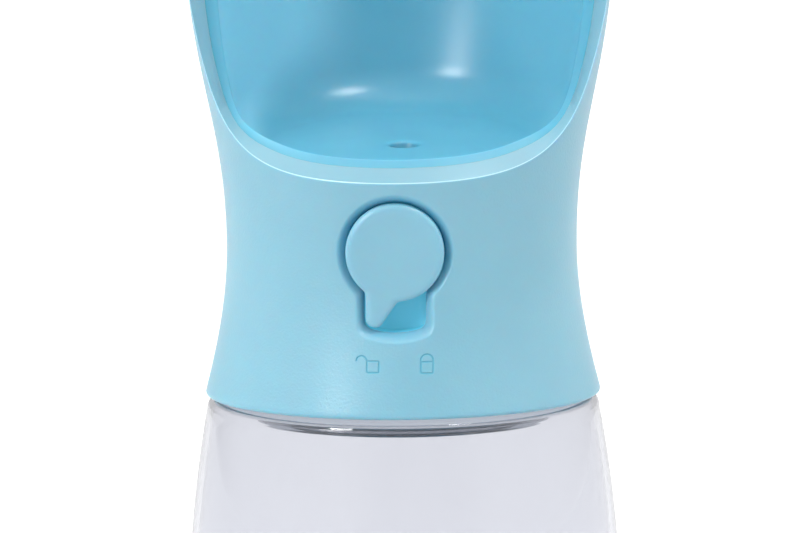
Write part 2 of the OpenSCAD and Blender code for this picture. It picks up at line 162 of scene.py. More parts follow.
class Rim:
    """The scoop's slanted mouth, sampled into columns that run right round the head.

    Column 0 is at the front, the columns then go round by +X to the back and return by -X.
    """

    def __init__(self, d: Dims, outline: HeadOutline, half: int = 220) -> None:
        front = [(-float(outline.radius(d.lip_z)), d.lip_z), (-21, d.lip_z + 1.3),
                 (-12.5, d.lip_z + 6.9), (-9.8, 147)]
        side = [(-9.8, 147), (-7.4, 153.6), (-4.4, 162.5), (0.5, 178.5)]
        back = [(0.5, 178.5), (5, 192.5), (18, 206.5), (float(outline.radius(d.top_z)), d.top_z)]
        u = np.linspace(0, 1, 600)
        yz = np.vstack([bezier(front, u**1.8)[:-1], bezier(side, u)[:-1],
                        bezier(back, 1 - (1 - u) ** 1.8)])
        r = outline.radius(yz[:, 1])
        phi = np.degrees(np.arccos(np.clip(-yz[:, 0] / r, -1, 1)))
        phi[0], phi[-1] = 0, 180
        step = np.hypot(np.diff(np.radians(phi)) * r[1:], np.diff(yz[:, 1]))
        s = np.concatenate([[0], np.cumsum(step)])
        at = np.linspace(0, s[-1], half + 1)
        self.half = half
        self.phi = np.interp(at, s, phi)
        self.z = np.interp(at, s, yz[:, 1])
        for _ in range(6):  # soften the joins of the three curves
            self.z[1:-1] = (self.z[:-2] + 2 * self.z[1:-1] + self.z[2:]) / 4
            self.phi[1:-1] = (self.phi[:-2] + 2 * self.phi[1:-1] + self.phi[2:]) / 4
        share = np.linspace(0, 1, half + 1)
        base = np.interp(share, [0, 0.27, 0.52, 1], [0, 62, 115, 180])
        for _ in range(400):
            base[1:-1] = (base[:-2] + 2 * base[1:-1] + base[2:]) / 4
        self.base_phi = base

    def face(self, depth: float) -> tuple[Array, Array]:
        """Azimuth and height of the rim's bevelled face at a depth inside the outer surface."""
        k = depth / DIM.shell_wall
        rise = 2.25 * (1 - smooth(40, 85, self.phi)) - 1.2 * smooth(120, 180, self.phi)
        turn = 9.0 * np.sin(np.radians(np.clip(self.phi, 0, 180))) ** 2.5
        return self.phi + k * turn, self.z + k * rise

    def whole(self, half_values: Array, sign: bool = False) -> Array:
        """Values of one half, carried right round; sign mirrors them on the -X side."""
        mirrored = half_values[-2:0:-1]
        return np.concatenate([half_values, -mirrored if sign else mirrored])


RIM = Rim(DIM, HEAD)


def on_surface(phi: Array, z: Array, depth: float | Array = 0.0) -> Array:
    """Points of the head's surface of revolution, depth inside it. phi in degrees from the front."""
    r = HEAD.radius(z) - depth
    a = np.radians(phi)
    return np.stack([r * np.sin(a), -r * np.cos(a), z], axis=-1)


# --------------------------------------------------------------------------- mesh helpers
class Slot(Enum):
    """Material slots of a piece that has more than one finish."""

    MAIN = 0
    WELL_SHADING = 1
    EDGE = 2
    MARK = 3
    LIT_LAND = 4
    SEAT_GLOW = 5


class MeshMaker:
    """Collects rings of points into one mesh.

    zones are runs of faces that take another slot; the painted tint list holds points and how much painted tint they
    take, 0 to 1: painted shade in the button's dish, painted light on the trough's side walls.
    """

    def __init__(self, name: str) -> None:
        self.name = name
        self.points: list[Array] = []
        self.faces: list[tuple[int, ...]] = []
        self.zones: list[tuple[int, int, int]] = []
        self.painted_shadings: list[tuple[list[int], Array]] = []
        self._count = 0

    def add(self, points: Array) -> list[int]:
        """Adds points and returns their indices."""
        pts = np.asarray(points, float).reshape(-1, 3)
        self.points.append(pts)
        first = self._count
        self._count += len(pts)
        return list(range(first, self._count))

    def bridge(self, a: Sequence[int], b: Sequence[int], closed: bool = True) -> None:
        """Quads between two rows of the same length."""
        n = len(a)
        for i in range(n if closed else n - 1):
            j = (i + 1) % n
            self.faces.append((a[i], a[j], b[j], b[i]))

    def rings(self, rows: Iterable[Array], closed: bool = True, loop: bool = False) -> list[list[int]]:
        """Adds each row of points and bridges it to the one before; loop joins last to first."""
        made = [self.add(r) for r in rows]
        for a, b in zip(made, made[1:]):
            self.bridge(a, b, closed)
        if loop:
            self.bridge(made[-1], made[0], closed)
        return made

    def cap(self, ring: Sequence[int]) -> None:
        """Closes a ring with a fan round its middle."""
        pts = np.vstack(self.points)[list(ring)]
        centre = self.add(pts.mean(0))[0]
        for i, v in enumerate(ring):
            self.faces.append((v, ring[(i + 1) % len(ring)], centre))

    def build(self, sharp_deg: float = 40.0) -> bpy.types.Object:
        """Makes the object, at the origin, with outward normals and smooth shading."""
        mesh = bpy.data.meshes.new(self.name)
        pts = np.vstack(self.points) * MM
        mesh.from_pydata([tuple(p) for p in pts], [], self.faces)
        if self.zones:
            chosen = np.zeros(len(self.faces), np.int32)
            for first, last, slot in self.zones:
                chosen[first:last] = slot
            for _ in Slot:
                mesh.materials.append(None)
            mesh.polygons.foreach_set("material_index", chosen)
        # weights of the painted tint: painted shade in the button's dish, painted light on the trough's side walls
        if self.painted_shadings:
            values = np.zeros(len(pts), np.float32)
            for where, amounts in self.painted_shadings:
                values[where] = amounts
            mesh.attributes.new("painted_shading", "FLOAT", "POINT").data.foreach_set("value", values)
        bm = bmesh.new()
        bm.from_mesh(mesh)
        bmesh.ops.remove_doubles(bm, verts=bm.verts, dist=1e-7)
        bmesh.ops.dissolve_degenerate(bm, dist=1e-8, edges=bm.edges)
        bmesh.ops.recalc_face_normals(bm, faces=bm.faces)
        bm.to_mesh(mesh)
        bm.free()
        finish_mesh(mesh, sharp_deg)
        obj = bpy.data.objects.new(self.name, mesh)
        bpy.context.scene.collection.objects.link(obj)
        open_edges = count_open_edges(mesh)
        LOG.info("%s: %d faces, %d open edges", self.name, len(mesh.polygons), open_edges)
        return obj


def finish_mesh(mesh: bpy.types.Mesh, sharp_deg: float) -> None:
    """Smooth shading, with creases kept where faces meet sharply."""
    mesh.validate()
    mesh.polygons.foreach_set("use_smooth", [True] * len(mesh.polygons))
    mesh.set_sharp_from_angle(angle=math.radians(sharp_deg))
    mesh.update()


def count_open_edges(mesh: bpy.types.Mesh) -> int:
    """Edges that don't have exactly two faces."""
    bm = bmesh.new()
    bm.from_mesh(mesh)
    n = sum(1 for e in bm.edges if len(e.link_faces) != 2)
    bm.free()
    return n


def corner(a: Array, b: Array, c: Array, size: float, steps: int) -> list[Array]:
    """Rows of points that round the corner b between rows a and c, size from the corner."""
    ua = (a - b) / np.linalg.norm(a - b, axis=1, keepdims=True)
    uc = (c - b) / np.linalg.norm(c - b, axis=1, keepdims=True)
    p, q = b + ua * size, b + uc * size
    return [(1 - t) ** 2 * p + 2 * t * (1 - t) * b + t**2 * q for t in np.linspace(0, 1, steps + 1)]


def column_paths(phi: Array, z: Array, base_phi: Array, base_z: Array, depth: float,
                 first: float, shares: Array) -> Array:
    """Paths on the head's surface from a slanted edge down to a base line.

    Each path leaves its point of the edge square to the edge and arrives upright.

    Args:
        phi: azimuths of the edge's points, front to back, in degrees.
        z: heights of the edge's points.
        base_phi: azimuths where the paths end.
        base_z: heights where the paths end.
        depth: depth inside the outer surface; not used.
        first: distance along the path where the first row lies.
        shares: rows, as shares of the rest of the path.

    Returns:
        Array of shape (rows, columns, 2): azimuth and height.
    """
    scale = math.radians(1) * 33.0
    u, ub = phi * scale, base_phi * scale
    du, dz = np.gradient(u), np.gradient(z)
    size = np.hypot(du, dz)
    n = np.stack([dz / size, -du / size], 1)
    n[0], n[-1] = (0, -1), (0, -1)
    a, b = np.stack([u, z], 1), np.stack([ub, base_z], 1)
    reach = 0.36 * np.linalg.norm(a - b, axis=1)[:, None]
    ctrl = np.stack([a, a + n * reach, b + np.array([0, 1.0]) * reach, b], 1)
    t = np.linspace(0, 1, 160)
    out = np.zeros((len(shares), len(u), 2))
    for i in range(len(u)):
        p = bezier(ctrl[i], t)
        s = np.concatenate([[0], np.cumsum(np.linalg.norm(np.diff(p, axis=0), axis=1))])
        at = first + (s[-1] - first) * shares
        out[:, i, 0] = np.interp(at, s, p[:, 0]) / scale
        out[:, i, 1] = np.interp(at, s, p[:, 1])
    return out


def resample_down(columns: Array, first: float, shares: Array) -> list[Array]:
    """Rows at even shares of each column's length.

    Args:
        columns: points of shape (points, columns, 3).
        first: length along each column where the first row lies.
        shares: rows, as shares of the rest of the column.

    Returns:
        One array of points for each share.
    """
    out = np.zeros((len(shares), columns.shape[1], 3))
    for i in range(columns.shape[1]):
        p = columns[:, i]
        s = np.concatenate([[0], np.cumsum(np.linalg.norm(np.diff(p, axis=0), axis=1))])
        at = first + (s[-1] - first) * shares
        for k in range(3):
            out[:, i, k] = np.interp(at, s, p[:, k])
    return list(out)


# --------------------------------------------------------------------------- flat outlines
Field = Callable[[Array, Array], Array]


def soft_min(a: Array, b: Array, k: float) -> Array:
    """Smooth minimum of two distances."""
    h = np.clip(0.5 + 0.5 * (b - a) / k, 0, 1)
    return b * (1 - h) + a * h - k * h * (1 - h)


def soft_max(a: Array, b: Array, k: float) -> Array:
    """Smooth maximum of two distances."""
    return -soft_min(-a, -b, k)


def keyhole(x: Array, z: Array) -> Array:
    """Distance to the edge of the button's well: a round hole with a pocket under it."""
    r = np.hypot(x, z)
    hole = r - DIM.aperture_r
    pocket = soft_max(np.abs(x + 0.06) - 4.93, r - 13.1, 1.2)
    pocket = np.maximum(pocket, z + 2.0)
    return soft_min(hole, pocket, 0.5)


def button_outline(x: Array, z: Array) -> Array:
    """Distance to the edge of the button's face: a disc with a tapering pointer."""
    a = math.radians(DIM.pointer_angle)
    axis = np.array([-math.sin(a), -math.cos(a)])
    along = x * axis[0] + z * axis[1]
    across = np.abs(x * -axis[1] + z * axis[0])
    taper, tip, reach = math.radians(DIM.pointer_angle), 1.5, DIM.pointer_reach
    # signed distance to a cone of half angle `taper` that is tangent to the tip's circle
    side = across * math.cos(taper) - (reach - along) * math.sin(taper) - tip
    dist = np.where((along - reach) * math.cos(taper) - across * math.sin(taper) * 1.0 > 0,
                    np.hypot(across, along - reach) - tip, side)
    pointer = np.maximum(dist, 3.0 - along)
    return soft_min(np.hypot(x, z) - DIM.button_r, pointer, 0.5)


def ray_radius(field: Field, angles: Array, offset: float, low: float = 3.2, high: float = 22.0) -> Array:
    """Distance from the middle, along each ray, where the field reaches an offset."""
    lo, hi = np.full(len(angles), low), np.full(len(angles), high)
    c, s = np.cos(angles), np.sin(angles)
    for _ in range(48):
        mid = (lo + hi) / 2
        outside = field(mid * c, mid * s) > offset
        hi = np.where(outside, mid, hi)
        lo = np.where(outside, lo, mid)
    return (lo + hi) / 2


def flat_ring(angles: Array, radius: Array | float, y: Array | float) -> Array:
    """Ring of points round the button's axis at the given radii and depth y."""
    r = np.broadcast_to(radius, angles.shape)
    return np.stack([r * np.cos(angles), np.broadcast_to(y, angles.shape), DIM.button_z + r * np.sin(angles)], 1)


# --------------------------------------------------------------------------- materials
def srgb(r: float, g: float, b: float) -> tuple[float, float, float, float]:
    """Linear colour of an 8-bit sRGB one."""
    def lin(c: float) -> float:
        c /= 255
        return c / 12.92 if c <= 0.04045 else ((c + 0.055) / 1.055) ** 2.4
    return lin(r), lin(g), lin(b), 1.0


class Finish(Enum):
    """Finishes of the object's surfaces."""

    SHELL = "shell_plastic"
    BUTTON = "button_plastic"
    WELL_SHADING = "well_plastic"
    EDGE = "edge_plastic"
    MARK = "mark_plastic"
    LIT_LAND = "land_plastic"
    SEAT_GLOW = "satin_plastic"
    SHADED_SEAL = "dark_seal"
    LINER = "liner_plastic"
    CLEAR = "clear_plastic"
    INNER = "inner_plastic"
    STEM = "stem_plastic"
    SILICONE = "silicone"
    STEEL = "steel"


@dataclass(frozen=True)
class Surface:
    """What all finishes share: a tint that drifts slightly over the piece, gloss and a fine grain."""

    pale: Colour
    deep: Colour
    roughness: float
    grain_mm: float = 0.4
    grain_strength: float = 0.1
    drift_mm: float = 18.0
    grain_depth_mm: float = 0.02

    def start(self, name: str) -> tuple[bpy.types.Material, bpy.types.NodeTree, bpy.types.Node]:
        """New material with the tint, gloss and grain in place.

        Args:
            name: name of the material.

        Returns:
            The material, its node tree and its shader node.
        """
        mat = bpy.data.materials.new(name)
        mat.use_nodes = True
        tree = mat.node_tree
        bsdf = tree.nodes["Principled BSDF"]
        bsdf.inputs["Roughness"].default_value = self.roughness
        tree.links.new(self.tint(tree), bsdf.inputs["Base Color"])
        bump = tree.nodes.new("ShaderNodeBump")
        bump.inputs["Strength"].default_value = self.grain_strength
        bump.inputs["Distance"].default_value = self.grain_depth_mm * MM
        tree.links.new(self.noise(tree, self.grain_mm, 3.0), bump.inputs["Height"])
        tree.links.new(bump.outputs["Normal"], bsdf.inputs["Normal"])
        return mat, tree, bsdf

    @staticmethod
    def noise(tree: bpy.types.NodeTree, size_mm: float, detail: float) -> bpy.types.NodeSocket:
        """Noise in object coordinates with grains of the given size."""
        coord = tree.nodes.new("ShaderNodeTexCoord")
        noise = tree.nodes.new("ShaderNodeTexNoise")
        noise.inputs["Scale"].default_value = 1.0 / (size_mm * MM)
        noise.inputs["Detail"].default_value = detail
        tree.links.new(coord.outputs["Object"], noise.inputs["Vector"])
        return noise.outputs["Fac"]

    def tint(self, tree: bpy.types.NodeTree) -> bpy.types.NodeSocket:
        """Colour that drifts between the pale and the deep tint."""
        ramp = tree.nodes.new("ShaderNodeValToRGB")
        for element, place, colour in zip(ramp.color_ramp.elements, (0.35, 0.65), (self.pale, self.deep)):
            element.position = place
            element.color = srgb(*colour)
        tree.links.new(self.noise(tree, self.drift_mm, 2.0), ramp.inputs["Fac"])
        return ramp.outputs["Color"]


@dataclass(frozen=True)
class Plastic(Surface):
    """Moulded plastic. Light wanders depth_mm inside it. It can take a painted tint from a point attribute (painted
    shade in the button's dish, painted light on the trough's side walls) and a painted glow that makes it shine
    though it is no lamp.
    """

    depth_mm: float = 0.0
    painted_shading: Colour | None = None
    painted_glow: Colour | None = None

    def make(self, name: str) -> bpy.types.Material:
        """Makes the material."""
        mat, tree, bsdf = self.start(name)
        bsdf.inputs["IOR"].default_value = 1.49
        if self.depth_mm:
            bsdf.inputs["Subsurface Weight"].default_value = 1.0
            bsdf.inputs["Subsurface Radius"].default_value = (0.2, 0.7, 1.0)
            bsdf.inputs["Subsurface Scale"].default_value = self.depth_mm * MM
        # painted tint from the point attribute: painted shade in the button's dish, painted light on the trough's
        # side walls
        if self.painted_shading:
            deep = tree.nodes.new("ShaderNodeAttribute")
            deep.attribute_name = "painted_shading"
            mix = tree.nodes.new("ShaderNodeMix")
            mix.data_type = "RGBA"
            tree.links.new(deep.outputs["Fac"], mix.inputs["Factor"])
            tree.links.new(bsdf.inputs["Base Color"].links[0].from_socket, mix.inputs["A"])
            mix.inputs["B"].default_value = srgb(*self.painted_shading)
            tree.links.new(mix.outputs["Result"], bsdf.inputs["Base Color"])
        # painted glow: the plastic shines though it is no lamp, to paint light onto it
        if self.painted_glow:
            bsdf.inputs["Emission Color"].default_value = srgb(*self.painted_glow)
            bsdf.inputs["Emission Strength"].default_value = 1.0
        return mat


@dataclass(frozen=True)
class Silicone(Surface):
    """Soft milky rubber."""

    def make(self, name: str) -> bpy.types.Material:
        """Makes the material."""
        mat, _, bsdf = self.start(name)
        bsdf.inputs["Subsurface Weight"].default_value = 0.3
        bsdf.inputs["Subsurface Scale"].default_value = 2 * MM
        return mat


@dataclass(frozen=True)
class Steel(Surface):
    """Bright drawn wire and screws."""

    def make(self, name: str) -> bpy.types.Material:
        """Makes the material."""
        mat, _, bsdf = self.start(name)
        bsdf.inputs["Metallic"].default_value = 1.0
        return mat


@dataclass(frozen=True)
class ClearPlastic(Surface):
    """Clear tinted plastic with a faint unevenness. core is the colour thick places turn to."""

    core: Colour = (150, 154, 168)
    soak_per_mm: float = 0.05

    def make(self, name: str) -> bpy.types.Material:
        """Makes the material."""
        mat, tree, bsdf = self.start(name)
        bsdf.inputs["IOR"].default_value = 1.5
        bsdf.inputs["Specular IOR Level"].default_value = 0.3
        bsdf.inputs["Transmission Weight"].default_value = 1.0
        soak = tree.nodes.new("ShaderNodeVolumeAbsorption")
        soak.inputs["Color"].default_value = srgb(*self.core)
        soak.inputs["Density"].default_value = self.soak_per_mm / MM
        tree.links.new(soak.outputs["Volume"], tree.nodes["Material Output"].inputs["Volume"])
        return mat


FINISHES: dict[Finish, Plastic | Silicone | Steel | ClearPlastic] = {
    # shell: its dish tint is painted shade, a deeper teal painted into the mouth of the button's well
    Finish.SHELL: Plastic((130, 180, 197), (133, 183, 200), 0.29, 0.42, 1.0, grain_depth_mm=0.045, depth_mm=1.2,
                          painted_shading=(92, 178, 212)),
    Finish.BUTTON: Plastic((130, 180, 198), (133, 183, 201), 0.34, 0.4, 0.3, depth_mm=1.2),
    # well: painted shade and painted light, a deeper, more saturated copy of the shell plastic for the pocket's walls
    # and floor, which also glows teal
    Finish.WELL_SHADING: Plastic((100, 176, 204), (104, 180, 208), 0.45, 0.4, 0.3, depth_mm=2.0, painted_glow=(50, 122, 134)),
    # edge: painted highlight, a paler copy of the shell plastic for the line of light along the rim's outer edge
    Finish.EDGE: Plastic((176, 216, 228), (180, 219, 231), 0.3, 0.4, 0.3),
    # mark: painted shade, a deeper teal copy of the shell plastic for the faces of the padlock grooves
    Finish.MARK: Plastic((103, 173, 195), (107, 177, 199), 0.5, 0.4, 0.3),
    # land: painted light, a greyer copy of the shell plastic with a painted glow, so the rim's land reads as lit from
    # above
    Finish.LIT_LAND: Plastic((108, 154, 169), (111, 157, 172), 0.31, 0.42, 0.6, depth_mm=0.3, painted_glow=(80, 98, 106)),
    # seat: painted highlight, an opaque grey that glows pale on the bottle's shoulder under the collar, standing in
    # for the line of light where the collar meets the bottle
    Finish.SEAT_GLOW: Plastic((84, 87, 93), (90, 93, 99), 0.4, 0.4, 0.2, painted_glow=(202, 208, 217)),
    # shaded seal: painted shade, a dark teal for the outlet seal so the drain hole above it reads as shade
    Finish.SHADED_SEAL: Plastic((28, 84, 104), (32, 90, 110), 0.5),
    # liner: its pale tint is painted light, mixed onto the trough's side walls, more on the left
    Finish.LINER: Plastic((92, 164, 188), (95, 167, 191), 0.26, 0.6, 0.05, depth_mm=0.6, painted_shading=(152, 214, 234)),
    Finish.INNER: Plastic((70, 150, 185), (76, 156, 190), 0.35),
    Finish.STEM: Plastic((226, 228, 230), (232, 234, 236), 0.35),
    Finish.SILICONE: Silicone((214, 216, 216), (224, 226, 226), 0.5, 0.3, drift_mm=6.0),
    Finish.STEEL: Steel((176, 178, 182), (196, 198, 202), 0.28, 0.15, drift_mm=2.0),
    Finish.CLEAR: ClearPlastic((222, 223, 227), (221, 222, 226), 0.0, 22.0, 0.04),
}


ZONE_FINISH: dict[Slot, Finish] = {
    Slot.WELL_SHADING: Finish.WELL_SHADING,
    Slot.EDGE: Finish.EDGE,
    Slot.MARK: Finish.MARK,
    Slot.LIT_LAND: Finish.LIT_LAND,
    Slot.SEAT_GLOW: Finish.SEAT_GLOW,
}


class Materials:
    """Makes each finish once."""

    def __init__(self) -> None:
        """Starts with nothing made."""
        self._made: dict[Finish, bpy.types.Material] = {}

    def get(self, finish: Finish) -> bpy.types.Material:
        """The material of a finish."""
        if finish not in self._made:
            self._made[finish] = FINISHES[finish].make(finish.value)
        return self._made[finish]


MATERIALS = Materials()


# --------------------------------------------------------------------------- pieces
@dataclass
class Piece:
    """A modelled piece: the body it rides on, the CAD node it stands for and its finish."""

    name: str = ""
    body: str = ""
    node: str = ""
    slot: str = ""
    finish: Finish = Finish.SHELL
    crease_deg: float = 40.0
    mesh: MeshMaker = field(init=False, repr=False)

    def __post_init__(self) -> None:
        """Starts an empty mesh."""
        self.mesh = MeshMaker(self.name)

    def build(self) -> bpy.types.Object:
        """Makes the piece's object."""
        raise NotImplementedError

    def dress(self, obj: bpy.types.Object) -> None:
        """Gives the piece its materials, hangs it on its body and lets it stand for its CAD node.

        Args:
            obj: the object that build made.
        """
        slots = np.zeros(len(obj.data.polygons), np.int32)
        obj.data.polygons.foreach_get("material_index", slots)
        obj.data.materials.clear()
        obj.data.materials.append(MATERIALS.get(self.finish))
        if slots.any():
            for zone in ZONE_FINISH.values():
                obj.data.materials.append(MATERIALS.get(zone))
            obj.data.polygons.foreach_set("material_index", slots)
        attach(obj, self.body)
        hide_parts(self.node)


# --------------------------------------------------------------------------- head shell
@dataclass
class HeadShell(Piece):
    """Outer shell: collar, waist and scoop, with the button's well and the two padlock marks."""

    name: str = "shell"
    body: str = "head"
    node: str = "head_shell"
    slot: str = "shell_plastic"
    finish: Finish = Finish.SHELL
    crease_deg: float = 38.0
    window_share: tuple[float, float] = (0.0045, 0.725)
    window_rows: tuple[int, int] = (1, 44)
    window_deg: float = 33.5
    lead_round: float = 0.3
    trail_round: float = 0.005
    well_mouth: float = 1.45
    well_recess: float = 1.75
    boss_wall: float = 1.35

    def build(self) -> bpy.types.Object:
        """Makes the shell."""
        shares = np.concatenate([[0], np.linspace(self.window_share[0], self.window_share[1], 44),
                                 np.linspace(self.window_share[1], 1, 20)[1:]])
        outer = self._side(0.0, shares)
        inner = self._side(DIM.shell_wall, shares)
        edge = on_surface(RIM.whole(RIM.face(0)[0], True), RIM.whole(RIM.face(0)[1]))
        crest = on_surface(RIM.whole(RIM.face(DIM.shell_wall)[0], True),
                           RIM.whole(RIM.face(DIM.shell_wall)[1]), DIM.shell_wall)
        outer_idx = [self.mesh.add(row) for row in outer]
        inner_idx = [self.mesh.add(row) for row in inner]
        hole_rows = self.window_rows
        self._skin(outer_idx, outer, hole_rows)
        self._skin(inner_idx, inner, hole_rows)
        # the rim: rounded outer edge, flat land, rounded inner edge
        lead = corner(outer[0] + (outer[1] - outer[0]) * 1e-3, edge, crest, self.lead_round, 6)
        trail = corner(edge, crest, inner[0], self.trail_round, 1)
        previous = outer_idx[0]
        for k, row in enumerate([*lead[1:], *trail[:-1]]):
            start_face = len(self.mesh.faces)
            now = self.mesh.add(row)
            self.mesh.bridge(previous, now)
            previous = now
            # painted highlight: the middle of the rounded outer edge takes the paler edge finish
            if k in (2, 3):
                self.mesh.zones.append((start_face, len(self.mesh.faces), Slot.EDGE.value))
            # painted light: the flat land and the end of the rounding take the land finish with its painted glow
            if k > 3:
                self.mesh.zones.append((start_face, len(self.mesh.faces), Slot.LIT_LAND.value))
        self.mesh.bridge(previous, inner_idx[0])
        self._foot(outer_idx[-1], inner_idx[-1])
        self._well(outer_idx, outer, inner_idx, inner, hole_rows)
        shell = self.mesh.build(self.crease_deg)
        carve(shell, PadlockMarks().cutters(), self.crease_deg)
        return shell

    def _side(self, depth: float, shares: Array) -> list[Array]:
        """Rows of one face of the shell, from just below the rim to the foot."""
        phi, z = RIM.face(depth)
        base = np.full_like(z, DIM.foot_z)
        paths = column_paths(phi, z, RIM.base_phi, base, depth, 0.42 if depth == 0 else 0.3, shares)
        return [on_surface(RIM.whole(p[:, 0], True), RIM.whole(p[:, 1]), depth) for p in paths]

    def _window(self) -> int:
        """Number of columns each side of the front that the well's window takes."""
        return int(np.searchsorted(RIM.base_phi, self.window_deg))

    def _skin(self, idx: list[list[int]], rows: list[Array], hole: tuple[int, int]) -> None:
        """Faces of one side, leaving out the window in front."""
        n, half = len(idx[0]), self._window()
        for j in range(len(idx) - 1):
            for i in range(n):
                k = (i + 1) % n
                in_columns = i < half or i >= n - half
                if in_columns and hole[0] <= j < hole[1]:
                    continue
                self.mesh.faces.append((idx[j][i], idx[j][k], idx[j + 1][k], idx[j + 1][i]))

    def _window_loop(self, idx: list[list[int]], rows: list[Array], hole: tuple[int, int]) -> tuple[list[int], Array]:
        """Indices and points of the window's edge, as one loop."""
        n, half = len(idx[0]), self._window()
        cols = [(i % n) for i in range(-half, half + 1)]
        keys = [(hole[0], c) for c in cols]
        keys += [(j, cols[-1]) for j in range(hole[0] + 1, hole[1] + 1)]
        keys += [(hole[1], c) for c in reversed(cols[:-1])]
        keys += [(j, cols[0]) for j in range(hole[1] - 1, hole[0], -1)]
        return [idx[j][c] for j, c in keys], np.array([rows[j][c] for j, c in keys])

    def _foot(self, outer: list[int], inner: list[int]) -> None:
        """Rounded foot of the collar."""
        phi = RIM.whole(RIM.base_phi, True)
        r = float(HEAD.radius(DIM.foot_z)) - DIM.foot_round
        previous = outer
        a = np.radians(phi)

        def ring(radius: float, z: float) -> list[int]:
            return self.mesh.add(np.stack([radius * np.sin(a), -radius * np.cos(a), np.full_like(a, z)], 1))

        for deg in np.linspace(-8, -90, 9):
            t = math.radians(deg)
            now = ring(r + DIM.foot_round * math.cos(t), DIM.foot_z + DIM.foot_round * math.sin(t))
            self.mesh.bridge(previous, now)
            previous = now
        low = ring(r + DIM.foot_round - DIM.shell_wall + 0.15, DIM.collar_z)
        self.mesh.bridge(previous, low)
        lift = ring(r + DIM.foot_round - DIM.shell_wall, DIM.collar_z + 0.15)
        self.mesh.bridge(low, lift)
        self.mesh.bridge(lift, inner)

    def _well(self, outer_idx: list[list[int]], outer: list[Array], inner_idx: list[list[int]],
              inner: list[Array], hole: tuple[int, int]) -> None:
        """The button's well: soft mouth, walls, pocket floor and the boss behind."""
        mouth, recess, boss = self.well_mouth, self.well_recess, self.boss_wall
        loop, pts = self._window_loop(outer_idx, outer, hole)
        ang = np.arctan2(pts[:, 2] - DIM.button_z, pts[:, 0])
        dist = np.hypot(pts[:, 2] - DIM.button_z, pts[:, 0])

        def skin_y(radius: Array, depth: float) -> Array:
            x, z = radius * np.cos(ang), DIM.button_z + radius * np.sin(ang)
            return -np.sqrt((HEAD.radius(z) - depth) ** 2 - x**2)

        previous = loop
        start = ray_radius(keyhole, ang, mouth)
        rows: list[Array] = []
        for t in np.linspace(0, 1, 12)[1:]:
            r = dist + (start - dist) * t
            rows.append(flat_ring(ang, r, skin_y(r, 0)))
        # painted shade: the mouth of the well is tinted deeper teal, more towards the hole and more at the top, where
        # the light from above does not reach
        painted_shading: dict[int, Array] = {}
        top_shade_weight = 0.3 + 0.35 * (1 + np.sin(ang))
        for t in np.linspace(0, 1, 13)[1:]:
            r = ray_radius(keyhole, ang, mouth * (1 - t))
            painted_shading[len(rows)] = top_shade_weight * t
            rows.append(flat_ring(ang, r, skin_y(r, 0) + recess * t**1.6))
        # the pocket's walls and floor take the well's finish: painted shade in a deeper teal, with a painted glow
        inside = (len(rows) + 1, len(rows) + 8)
        edge_r = ray_radius(keyhole, ang, 0.0)
        rows.append(flat_ring(ang, edge_r, skin_y(edge_r, 0) * 0.5 + (DIM.pocket_floor_y - 0.25) * 0.5))
        rows.append(flat_ring(ang, edge_r, DIM.pocket_floor_y - 0.3))
        bore = DIM.aperture_r - 0.02
        for inset, rise in ((-0.09, -0.09), (-0.3, 0.0)):
            rows.append(flat_ring(ang, np.maximum(ray_radius(keyhole, ang, inset), bore), DIM.pocket_floor_y + rise))
        rows.append(flat_ring(ang, bore, DIM.pocket_floor_y + 0.02))
        rows.append(flat_ring(ang, bore, DIM.pocket_floor_y + 0.3))
        rows.append(flat_ring(ang, DIM.aperture_r - 0.02, DIM.boss_end_y))
        rows.append(flat_ring(ang, DIM.aperture_r + boss, DIM.boss_end_y))
        rows.append(flat_ring(ang, DIM.aperture_r + boss, DIM.pocket_floor_y + 1.3))
        out_r = ray_radius(keyhole, ang, boss + 0.02)
        rows.append(flat_ring(ang, out_r, DIM.pocket_floor_y + 1.1))
        rows.append(flat_ring(ang, out_r, skin_y(out_r, DIM.shell_wall) + 0.02))
        in_loop, in_pts = self._window_loop(inner_idx, inner, hole)
        in_ang = np.arctan2(in_pts[:, 2] - DIM.button_z, in_pts[:, 0])
        in_dist = np.hypot(in_pts[:, 2] - DIM.button_z, in_pts[:, 0])
        for t in (0.35, 0.7):
            r = out_r + (in_dist - out_r) * t
            a = ang + (np.angle(np.exp(1j * (in_ang - ang)))) * t
            x, z = r * np.cos(a), DIM.button_z + r * np.sin(a)
            y = -np.sqrt((HEAD.radius(z) - DIM.shell_wall) ** 2 - x**2)
            rows.append(np.stack([x, y, z], 1))
        for k, row in enumerate(rows):
            start_face = len(self.mesh.faces)
            now = self.mesh.add(row)
            self.mesh.bridge(previous, now)
            previous = now
            if inside[0] <= k < inside[1]:
                self.mesh.zones.append((start_face, len(self.mesh.faces), Slot.WELL_SHADING.value))
            if k in painted_shading:
                self.mesh.painted_shadings.append((now, painted_shading[k]))
        self.mesh.bridge(previous, in_loop)


